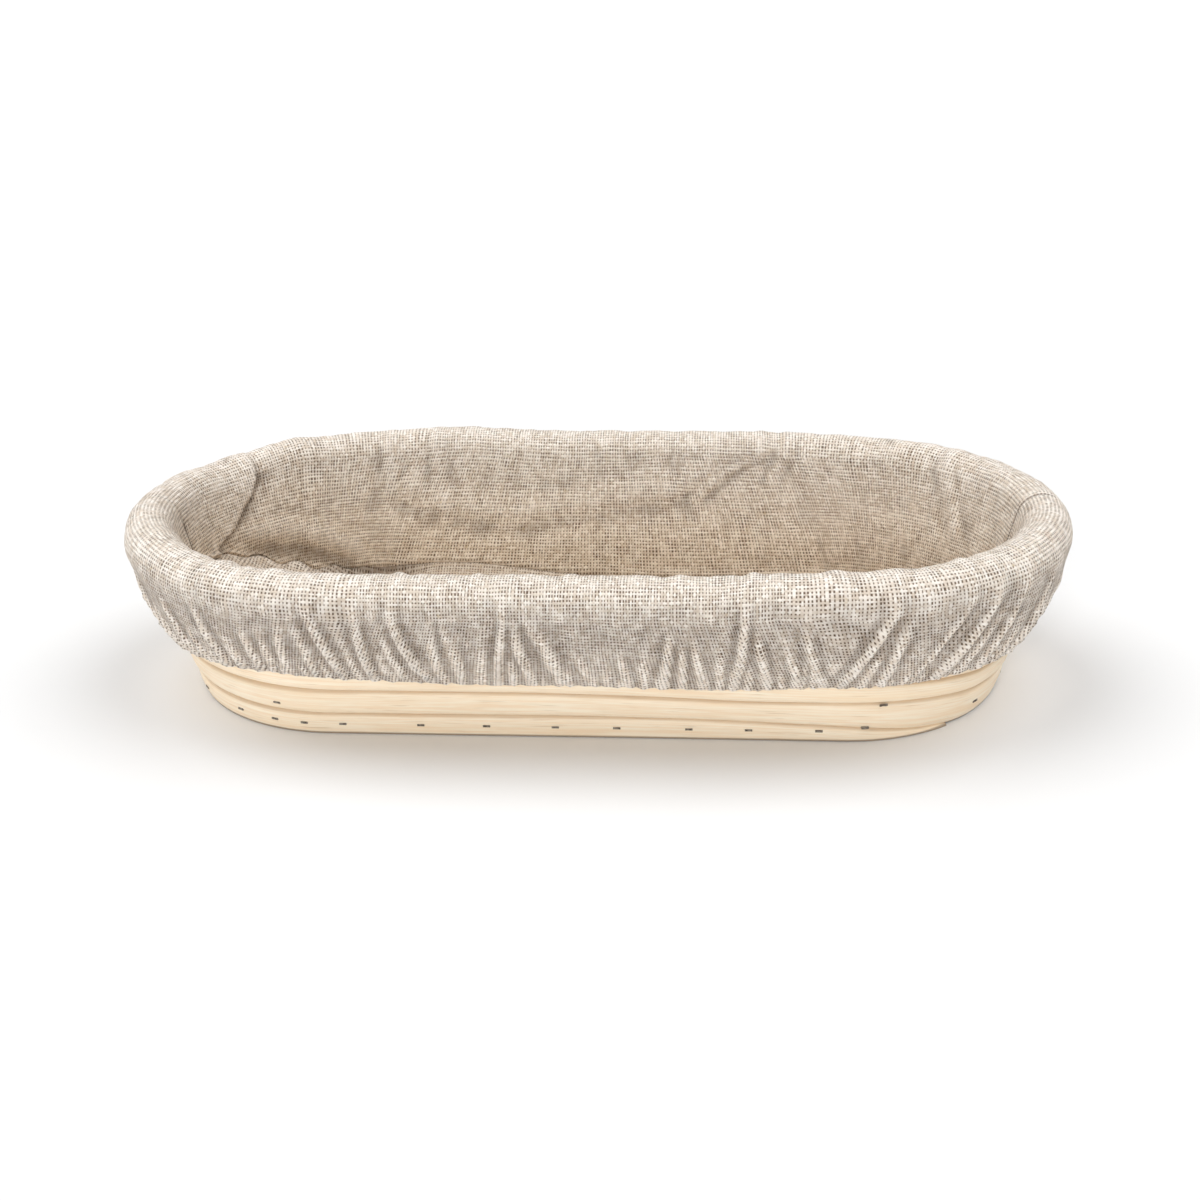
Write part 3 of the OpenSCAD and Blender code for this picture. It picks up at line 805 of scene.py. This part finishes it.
# %% The path of the cloth
def cloth_path():
    wall = np.linspace(0, 1, WALL_ROWS + 1)
    arc = np.linspace(np.pi, 0, ROLL_ROWS + 1)[1:]
    skirt = np.linspace(0, 1, SKIRT_ROWS + 1)[1:]
    turn = np.linspace(0, -np.pi, HEM_ROWS + 1)[1:]
    tuck = np.linspace(0, 1, TUCK_ROWS + 1)[1:]
    inside = -(WALL_OUT + (ROLL_R - WALL_OUT) * wall)
    hang = ROLL_R + (HEM_OUT - ROLL_R) * skirt + SKIRT_BELLY * np.sin(np.pi * skirt)
    hem_level = WALL_TURNS + (HEM_LEVEL - WALL_TURNS) * skirt
    ends = [len(wall), len(arc), len(skirt), len(turn), len(tuck)]
    part = np.repeat([WALL, ROLL, SKIRT, HEM, TURNED], ends)
    past_hem = HEM_LEVEL + 0 * np.concatenate([turn, tuck])
    level = np.concatenate([wall, WALL_TURNS + 0 * arc, hem_level, past_hem])
    up = np.concatenate([0 * wall, ROLL_R * np.sin(arc), 0 * skirt, HEM_R * np.sin(turn), TUCK * tuck])
    out = np.concatenate([inside, ROLL_R * np.cos(arc), hang, HEM_OUT - HEM_R + HEM_R * np.cos(turn),
                          HEM_OUT - 2 * HEM_R + 0 * tuck])
    face = np.concatenate([np.pi + 0 * wall, arc, 0 * skirt, turn, -np.pi + 0 * tuck])
    share = np.concatenate([wall, np.linspace(0, 1, ROLL_ROWS + 1)[1:], skirt, turn / -np.pi, tuck])
    return part, share, level, up, out, face


part, share, row_level, row_up, row_out, row_face = cloth_path()
print("rows down the cloth:", len(part))

# %% Columns round the cloth
COLUMN_STEP = 0.92
SEAM_COLUMNS = np.array([0, 0.4, 0.8, 1.3])
SEAM_REACH = 1.8
RIGHT_SEAM = 3.475
MID_LEVEL = 3.5


def columns_between(first, last, middle):
    fine = np.linspace(first, last, 4001)
    places = wall_place(fine, MID_LEVEL + 0 * fine, 0 * fine, 0 * fine)
    run = np.concatenate([[0], np.cumsum(np.linalg.norm(np.diff(places, axis=0), axis=1))])
    even = np.linspace(0, run[-1], int(round(run[-1] / COLUMN_STEP)) + 1)
    even = even[(even > SEAM_REACH) & (even < run[-1] - SEAM_REACH)]
    even = np.concatenate([SEAM_COLUMNS, even, run[-1] - SEAM_COLUMNS[::-1]])
    way = np.interp(even, run, fine)
    to_right = (even - np.interp(middle, fine, run)) * (1 if middle > 2 else -1)
    return way, to_right, np.minimum(even, run[-1] - even)


front_seam = columns_between(RIGHT_SEAM - 4, LEFT_SEAM, 0.5)
back_seam = columns_between(LEFT_SEAM, RIGHT_SEAM, 2.5)
print("columns:", len(front_seam[0]), "in front,", len(back_seam[0]), "behind")

# %% Folds and gathers
GATHER_LEAN = 0.15
RIPPLE_WAVES = 14


def fold(along, drop, top, hem, start, height, width):
    line = top + (hem - top) * drop
    grow = height * eased(drop, start - 0.22, start + 0.38)
    away = np.abs(along - line) / width
    return grow * (np.exp(-away ** 1.5) - 0.25 * np.exp(-((away - 2.4) / 1.3) ** 2))


def gathers(along, drop, seed):
    draw = np.random.default_rng(seed)
    total = 0 * along
    place = along.min()
    while place < along.max():
        place += draw.uniform(2.8, 5.0)
        height = draw.uniform(0.6, 1.5)
        reach = draw.choice([0.16, 0.22, 0.30, 0.55])
        lean = GATHER_LEAN * place + draw.uniform(-2.0, 2.0)
        width = draw.uniform(0.75, 1.15)
        line = place + lean * (1 - drop)
        total = total + height * eased(drop, 1 - reach, 1 - 0.35 * reach) * bump_at(along, line, width)
    return total


def ripple(along, down, size, seed):
    draw = np.random.default_rng(seed)
    total = 0 * along
    for _ in range(RIPPLE_WAVES):
        heading = draw.uniform(0, np.pi)
        pace = 2 * np.pi / size * draw.uniform(0.6, 1.5)
        start = draw.uniform(0, 2 * np.pi)
        total = total + np.sin(pace * (along * np.cos(heading) + down * np.sin(heading)) + start)
    return total / math.sqrt(RIPPLE_WAVES)


print("folds and gathers can be drawn")

# %% Folds of the front
# place at the rim and at the hem, share of the skirt where it starts, height and width
FRONT_FOLDS = [
    (182, 176, 0.2, 0.8, 2.6), (168, 158, 0.1, 0.9, 2.6), (152, 140, 0.1, 0.9, 2.8),
    (141, 120, 0.0, 1.5, 4.0), (113, 101, 0.2, 1.0, 2.4), (107.6, 86.4, 0.0, 1.5, 2.8),
    (82.5, 80, 0.1, 0.6, 2.0), (66, 62, 0.2, 1.0, 2.2), (63, 51, 0.0, 1.3, 2.4), (43, 41, 0.3, 0.9, 2.2),
    (36, 28, 0.2, 0.9, 2.4), (15, 17, 0.5, 0.7, 2.2), (-13, -3, 0.2, 1.2, 4.0),
    (-23, -14, 0.2, 1.0, 2.2), (-25, -26, 0.0, 1.2, 2.0), (-44, -37, 0.35, 1.0, 2.2),
    (-66.5, -48, 0.0, 1.5, 2.8), (-80, -67, 0.05, 1.4, 2.6), (-93.5, -77, 0.0, 1.5, 2.6),
    (-103, -98, 0.2, 0.9, 2.2), (-117, -108, 0.3, 1.0, 2.4), (-133.5, -122.5, 0.1, 1.1, 2.6),
    (-150, -140, 0.2, 0.9, 2.6), (-168, -160, 0.1, 0.9, 2.6), (-185, -180, 0.2, 0.8, 2.6),
]
WIDE_GAP = 9


def between(folds):
    draw = np.random.default_rng(5)
    ordered = sorted(folds)
    minor = []
    for (top, hem, *_), (next_top, next_hem, *_) in zip(ordered, ordered[1:]):
        if next_hem - hem > WIDE_GAP:
            side = draw.uniform(0.4, 0.6)
            minor.append((top + side * (next_top - top), hem + side * (next_hem - hem),
                          draw.uniform(0.25, 0.5), draw.uniform(0.4, 0.8), draw.uniform(1.8, 2.4)))
    return minor


FRONT_FOLDS = FRONT_FOLDS + between(FRONT_FOLDS)
FRONT_VALLEYS = [(-50, -41, 0.1, -1.0, 2.2), (-19, -8, 0.1, -1.1, 2.6), (134, 112, 0.0, -0.9, 2.0)]
print("in front:", len(FRONT_FOLDS), "folds,", len(FRONT_VALLEYS), "valleys")

# %% Folds of the back
BACK_REACH = 196.0


def back_folds():
    draw = np.random.default_rng(7)
    folds = []
    place = -BACK_REACH
    while place < BACK_REACH:
        hem = 0.91 * place + draw.uniform(-4, 4)
        folds.append((place, hem, draw.uniform(0, 0.4), draw.uniform(0.6, 1.5), draw.uniform(2.0, 3.4)))
        place += draw.uniform(11, 24)
    return folds


BACK_FOLDS = back_folds()
print("behind:", len(BACK_FOLDS), "folds")


# %% Creases inside
def along_line(level, points):
    levels, places = zip(*sorted((point[1], point[0]) for point in points))
    return np.interp(level, levels, places)


def across_line(along, points):
    places, levels = zip(*points)
    return np.interp(along, places, levels)


def crease(along, level, points, height, width):
    low = min(point[1] for point in points)
    high = max(point[1] for point in points)
    away = (along - along_line(level, points)) / width
    held = eased(level, low - 0.5, low) * (1 - eased(level, high, high + 0.5))
    return height * held * (np.exp(-away ** 2) - 0.5 * np.exp(-((np.abs(away) - 2.0) / 1.1) ** 2))


# place along the back, and level: the sagging fold, the edge of the left flap and the foot of the pocket
SWAG = [
    (-110, 3.9), (-85, 3.4), (-60, 2.75), (-41, 2.5), (-20, 2.75), (-1.5, 3.1), (31, 3.45), (49, 4.16),
    (60, 4.5),
]
STEP = [
    (-145, 5.9), (-147, 5.5), (-150.5, 4.73), (-154, 4.28), (-159.3, 3.86), (-166.8, 3.36),
    (-179.3, 3.01),
]
BULGE = [(-176, 2.9), (-157, 2.6), (-145, 2.4), (-126, 2.0), (-106, 1.35), (-90, 0.95)]
# line from the rim down, height and width of each crease
BACK_CREASES = [
    ([(-94, 5.0), (-90.5, 3.8)], 0.9, 2.2),
    ([(-75, 5.0), (-63, 2.7)], 1.0, 2.4),
    ([(69, 5.0), (53.5, 4.48), (36.5, 3.45)], 1.1, 2.4),
    ([(80, 5.0), (70, 4.16)], 0.9, 2.0),
    ([(143, 5.0), (153, 3.2)], 1.2, 2.8),
]


def inside_of_back(along, level):
    line = across_line(along, SWAG)
    fade = eased(along, -112, -80) * (1 - eased(along, 40, 62))
    total = fade * (0.75 * bump_at(level, line + 0.42, 0.42) - 0.5 * bump_at(level, line - 0.25, 0.32))
    away = along - along_line(level, STEP)
    raised = np.exp(-np.clip(-away, 0, None) / 30)
    sunken = np.exp(-np.clip(away, 0, None) / 7)
    flap = 1 - eased(away, -0.5, 0.5)
    total += (1 - 0.75 * eased(level, 4.85, 5.25)) * (1.5 * flap * raised - 1.6 * (1 - flap) * sunken)
    for points, height, width in BACK_CREASES:
        total += crease(along, level, points, height, width)
    foot = across_line(along, BULGE)
    window = eased(along, -172, -152) * (1 - eased(along, -108, -90))
    total += window * (1.2 * bump_at(level, foot + 0.45, 0.42) - 2.2 * bump_at(level, foot - 0.34, 0.42))
    return total


def inside_of_front(along, level):
    draw = np.random.default_rng(21)
    total = 0 * along
    for place in np.arange(-170, 175, 34):
        top = place + draw.uniform(-9, 9)
        points = [(top, 5.0), (top * 0.93 + draw.uniform(-7, 7), draw.uniform(2.0, 3.6))]
        total += crease(along, level, points, draw.uniform(0.6, 1.3), draw.uniform(2.0, 3.2))
    return total


print("creases inside are ready")

# %% Marks for the painted light and shade of the cloth
SKIRT_SHADE = 0.62
SEAM_SHADE = 1.8


def smoothed(shape, reach, axis):
    padded = np.pad(shape, [(reach, reach) if side == axis else (0, 0) for side in (0, 1)], mode="edge")
    total = np.cumsum(np.insert(padded, 0, 0, axis=axis), axis=axis)
    width = 2 * reach + 1
    count = shape.shape[axis]
    return (np.take(total, np.arange(count) + width, axis) - np.take(total, np.arange(count), axis)) / width


def panel_marks(shape, kind, drop, skirt, seam_shadow_line):
    # painted light and shade of the folds: crests above the smoothed cloth get lighter, valleys below it
    # darker
    fine = np.clip(shape - smoothed(smoothed(shape, 4, 1), 2, 0), -0.45, 1.1)
    broad = np.clip((shape - smoothed(smoothed(shape, 10, 1), 6, 0)) / 1.5, -1.0, 0.5)
    # painted shade on the skirt, darkest just under the rim, and on the outer half of the roll
    hanging_shade = 0.75 + 0.25 * eased(skirt, 0, 0.1) - 0.65 * eased(skirt, 0.3, 0.9)
    hanging_shade = np.where(kind == ROLL, 0.75 * eased(drop, 0.5, 1.0), hanging_shade)
    relief = np.where(kind == WALL, broad, fine - SKIRT_SHADE * hanging_shade)
    # painted highlight along the top of the roll
    relief = relief + np.where(kind == ROLL, 0.3 * bump_at(drop, 0.5, 0.35), 0)
    # painted shadow line along the end seams
    relief = relief - SEAM_SHADE * seam_shadow_line
    # painted shade and warm bounced light on the inside wall, stronger towards the floor seam, and on the
    # roll's inner side
    inside_shade = np.where(kind == ROLL, 0.2 * (1 - eased(drop, 0, 0.5)), 0.0)
    inside_shade = np.where(kind == WALL, 1.1 - 0.92 * drop, inside_shade)
    return {"painted_light_and_shade": relief.T, "inside_shade": inside_shade.T}


print("marks are ready")

# %% Shape of each panel's surface
SEAM_DEPTH = 0.9
HEM_PULL = 0.75
HEM_TEETH = 0.38
FOLD_HEIGHT = 1.6
FOLD_WIDTH = 0.50


def panel_surface(way, along, edge, folds, valleys, inside, lifts, seed, on_top):
    rows, columns = len(part), len(way)
    kind = np.repeat(part[:, None], columns, 1)
    drop = np.repeat(share[:, None], columns, 1)
    place = np.repeat(along[None, :], rows, 0)
    start = FLOOR_LEVEL + seam_lift(way)[None, :]
    level = np.where(kind == WALL, start + (WALL_TURNS - start) * drop, row_level[:, None])
    skirt = np.where(kind == SKIRT, drop, np.where(kind > SKIRT, 1.0, 0.0))
    level = level + hem_drift(way)[None, :] * skirt
    up = np.repeat(row_up[:, None], columns, 1)
    out = np.repeat(row_out[:, None], columns, 1)
    face = np.repeat(row_face[:, None], columns, 1)
    down = np.cumsum(np.full(rows, 1.2))[:, None] + 0 * place
    shape = 0.22 * ripple(place, down, 16, seed) + 0.10 * ripple(place, down, 6, seed + 1)
    hung = np.where(kind == ROLL, eased(drop, 0.35, 1.0), np.where(kind >= SKIRT, 1.0, 0.0))
    for top, hem, first, height, width in folds + valleys:
        shape += hung * fold(place, skirt, top, hem, first, FOLD_HEIGHT * height, FOLD_WIDTH * width)
    shape += np.where(kind >= SKIRT, gathers(place, skirt, seed + 2), 0)
    climb = np.where(kind == ROLL, WALL_TURNS + 0.3 * np.sin(np.pi * drop), level)
    held = np.where(kind == WALL, 1.0, np.where(kind == ROLL, 1 - eased(drop, 0.3, 0.8), 0.0))
    shape += held * inside(place, climb)
    near_rim = np.where(kind == ROLL, 1.0, 1 - eased(skirt, 0.0, 0.45))
    near_rim = np.where(kind == WALL, eased(drop, 0.55, 1.0), near_rim)
    raise_by = sum(height * bump_at(place, middle, width) for middle, width, height in lifts)
    free = eased(edge, 0, 9)[None, :]
    right = np.where(kind == WALL, 1.0, np.where(kind == ROLL, 1 - eased(drop, 0.5, 0.8), 0.0))
    left = np.where(kind == WALL, 1 - 0.85 * eased(drop, 0.6, 0.95), 0.15 * (kind < HEM))
    seam_depth = np.where(place > 0, np.maximum(right, 0.15 * (kind < HEM)), left)
    valley = -SEAM_DEPTH * bump_at(edge, 0, 0.7 if on_top else 1.8)
    if on_top:
        valley = 0.3 * bump_at(edge, 2.0, 1.2) + valley
    least = np.select([kind == WALL, kind == ROLL, kind == SKIRT], [-1.7, -1.5, -1.3 + 1.1 * skirt], -0.1)
    shape = np.maximum(shape, least) * free + valley[None, :] * seam_depth
    shape = np.where(kind == TURNED, 0.0, shape)
    # painted shadow line along the end seams, strongest at the seam itself
    seam_shadow_line = seam_depth * bump_at(edge, 0, 0.6 if on_top else 1.7)[None, :]
    marks = panel_marks(shape, kind, drop, skirt, seam_shadow_line)
    sewn = np.where(kind == WALL, bump_at(drop, 0.035, 0.02) * 1.3, 0)
    shape = shape + sewn
    pulled = HEM_PULL * np.where(kind >= SKIRT, shape * eased(skirt, 0.75, 1.0), 0)
    pulled = pulled + HEM_TEETH * ripple(place, 0 * place, 3.2, seed + 9) * eased(skirt, 0.9, 1.0)
    up = up + raise_by * free * near_rim + shape * np.sin(face) * np.where(kind == HEM, 0.2, 1.0) + pulled
    out = out + shape * np.cos(face)
    places = wall_place(np.repeat(way[None, :], rows, 0), level, up, out)
    steps = np.linalg.norm(np.diff(places, axis=0), axis=2).mean(axis=1)
    run = np.concatenate([[0], np.cumsum(steps)])[:, None] + 0 * place
    run = np.where(kind == WALL, run[WALL_ROWS] - (WALL_TURNS - level) * PITCH, run)
    return places, np.stack([place, run], -1), marks, steps.sum()


print("panel shapes are ready")

# %% Sewing the panels
CLOTH_T = 0.7


def thicken(piece, thickness):
    bpy.ops.object.select_all(action="DESELECT")
    piece.select_set(True)
    bpy.context.view_layer.objects.active = piece
    wall = piece.modifiers.new("cloth_thickness", "SOLIDIFY")
    wall.thickness = thickness * MM
    wall.offset = 0
    bpy.ops.object.modifier_apply(modifier=wall.name)


def sew_panel(name, node, seam, folds, valleys, inside, lifts, seed, on_top):
    way, along, edge = seam
    surface = panel_surface(way, along, edge, folds, valleys, inside, lifts, seed, on_top)
    places, cloth, marks, length = surface
    piece = flat_grid(name, len(way) - 1, len(part) - 1)
    lay_grid(piece, places.transpose(1, 0, 2), cloth.transpose(1, 0, 2), marks)
    thicken(piece, CLOTH_T)
    soft_shading(piece, 75)
    coat(piece, linen_finish)
    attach(piece, "liner")
    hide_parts(node)
    return piece


# place, width and height of each rise or dip of the roll over the rim
FRONT_LIFTS = [(88, 26, 2.2), (-135, 26, -1.8)]
BACK_LIFTS = [(-66, 24, 1.6), (-128, 10, 1.2), (-160, 14, -1.0), (100, 24, -1.0)]
sew_panel("linen_front", "liner_front_panel", front_seam, FRONT_FOLDS, FRONT_VALLEYS,
          inside_of_front, FRONT_LIFTS, 11, True)
sew_panel("linen_back", "liner_back_panel", back_seam, BACK_FOLDS, [],
          inside_of_back, BACK_LIFTS, 31, False)

# %% [markdown]
# ## The liner's floor
# The floor panel is an oval of the same linen, sewn to the panels and laid in loosely, so its edge rides up
# where the liner isn't pushed down, most of all at the left end. A filled outline would be flat. Rings that
# shrink from the seam to the spine of the oval can be lifted towards the edge and rippled a little. At
# the left end the spare cloth is heaped up, and beside that it is tucked down next to the wall.

# %% Shape of the floor panel
RING_ROWS = 34
FLOOR_COLUMNS = 300
FLOOR_REST = 10.25
SPINE_HALF = 85
LOWEST = -0.1
TUCK_DEPTH = 5.0
HEAP_HEIGHT = 2.0
HEAP_LUMPS = 0.9
way = np.linspace(0, 4, FLOOR_COLUMNS + 1)
seam = wall_place(way, FLOOR_LEVEL + seam_lift(way), 0 * way, -WALL_OUT + 0 * way)
seam[-1] = seam[0]
spine = np.stack([np.clip(seam[:, 0], -SPINE_HALF, SPINE_HALF), 0 * way, FLOOR_REST + 0 * way], -1)
ring = np.linspace(0, 1, RING_ROWS + 1)[None, :]
places = spine[:, None, :] * (1 - ring[..., None]) + seam[:, None, :] * ring[..., None]
slope = (seam[:, 2] - FLOOR_REST)[:, None] * eased(ring, 0.45, 1.05) ** 1.3
x, y = places[..., 0], places[..., 1]
puffs = 0.5 * ripple(x, y, 34, 77) + 0.2 * ripple(x, y, 11, 78)
calm = (1 - eased(ring, 0.85, 1.0)) * eased(ring, 0.0, 0.12)
welt = 0.9 * bump_at(ring, 0.965, 0.02)
tucked = (eased(way, 1.76, 1.90) * (1 - eased(way, 1.97, 2.12)))[:, None]
heaped = (eased(way, 1.55, 1.66) * (1 - eased(way, 1.90, 2.0)))[:, None]
lumps = HEAP_HEIGHT + HEAP_LUMPS * ripple(x, y, 12, 79)
welt = welt - TUCK_DEPTH * tucked * bump_at(ring, 0.93, 0.05) + lumps * heaped * bump_at(ring, 0.78, 0.09)
places[..., 2] = FLOOR_REST + np.maximum(slope + np.maximum(puffs, LOWEST) * calm + welt, LOWEST)
places[:, -1, 2] = seam[:, 2]
print("floor seam rises to", round(float(seam[:, 2].max()), 1), "mm")

# %% Sewing the floor panel
piece = flat_grid("linen_floor", FLOOR_COLUMNS, RING_ROWS)
# painted shade: the floor darkens towards its edge by the wall and in the tuck at the left end, and is
# warmed more towards the edge
shaded = -0.75 * tucked * eased(ring, 0.82, 0.98) - 0.45 * (1 - heaped) * eased(ring, 0.25, 0.8)
marks = {"inside_shade": 0.35 + 0.5 * eased(ring, 0.25, 0.8) * (1 - 0.7 * heaped), "painted_light_and_shade": shaded}
lay_grid(piece, places, places[..., :2].copy(), marks)
close_seams(piece, cap=False)
thicken(piece, CLOTH_T)
soft_shading(piece, 75)
coat(piece, linen_finish)
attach(piece, "liner")
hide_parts("liner_floor")

# %% [markdown]
# ## The elastic
# A flat braided elastic runs round inside the hem and pulls it in under the rim. It only shows when the hem
# is turned up. A closed grid with a rounded flat section, wavy where the gathers pinch it, is enough, and
# the same threads, finer and closer, make its braid.

# %% Elastic
BAND_W = 4.0
BAND_T = 0.6
BAND_UP = 3.4
BAND_WAVE = 0.12
WAVES_PER_LEG = 17
BAND_COLUMNS = 420
BAND_ROUND = 12
way = np.linspace(0, 4, BAND_COLUMNS + 1)
turn = np.linspace(0, 2 * np.pi, BAND_ROUND + 1)
turn[-1] = 0
BAND_OUT = HEM_OUT - HEM_R
waves = BAND_WAVE * np.sin(2 * np.pi * way * WAVES_PER_LEG)[:, None]
up = BAND_UP + BAND_W / 2 * squarer(np.cos(turn))[None, :] + waves
out = BAND_OUT + BAND_T / 2 * squarer(np.sin(turn))[None, :] + 0 * up
places = wall_place(way[:, None] + 0 * up, HEM_LEVEL + hem_drift(way)[:, None] + 0 * up, up, out)
places[-1] = places[0]
run = np.concatenate([[0], np.cumsum(np.linalg.norm(np.diff(places[:, 0], axis=0), axis=1))])[:, None]
girth = np.linspace(0, 2 * (BAND_W + BAND_T), BAND_ROUND + 1)[None, :]
band = flat_grid("hem_band", BAND_COLUMNS, BAND_ROUND)
lay_grid(band, places, np.stack([run + 0 * girth, girth + 0 * run], -1))
close_seams(band, cap=False)
soft_shading(band, 50)
print("elastic", len(band.data.polygons), "faces,", round(float(run[-1, 0])), "mm round")

# %% Elastic material
BRAID_PER_METRE = 1900.0
BRAID_WIDTH = 0.42
DARK_BRAID = (0.78, 0.76, 0.72, 1)
PALE_BRAID = (0.88, 0.87, 0.84, 1)
BRAID_HOLE_SHADE = (0.50, 0.48, 0.44, 1)
elastic_finish, tree, shader = new_material("braided_elastic")
braid = woven(tree, BRAID_PER_METRE, BRAID_WIDTH)
tone = blended(tree, braid.outputs["Tone"], DARK_BRAID, PALE_BRAID)
# painted shade: the holes of the braid get a darker grey for the shade inside them
feed(tree, shader, "Base Color", blended(tree, braid.outputs["Thread"], BRAID_HOLE_SHADE, tone))
feed(tree, shader, "Roughness", ramped(tree, braid.outputs["Height"], 0.0, 1.0, 0.8, 0.6))
emboss(tree, shader, braid.outputs["Height"], 0.15 * MM)
coat(band, elastic_finish)
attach(band, "liner")
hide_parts("hem_elastic")
print("elastic finish:", len(tree.nodes), "nodes")

# %% [markdown]
# ## Sizes
# The box of the dressed basket is measured and printed in millimetres. The dressed basket may stand only a
# little proud of the imported one.

# %% Sizes and finish
low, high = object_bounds()
print("dressed box in mm:", [round(side / MM, 1) for side in high - low])
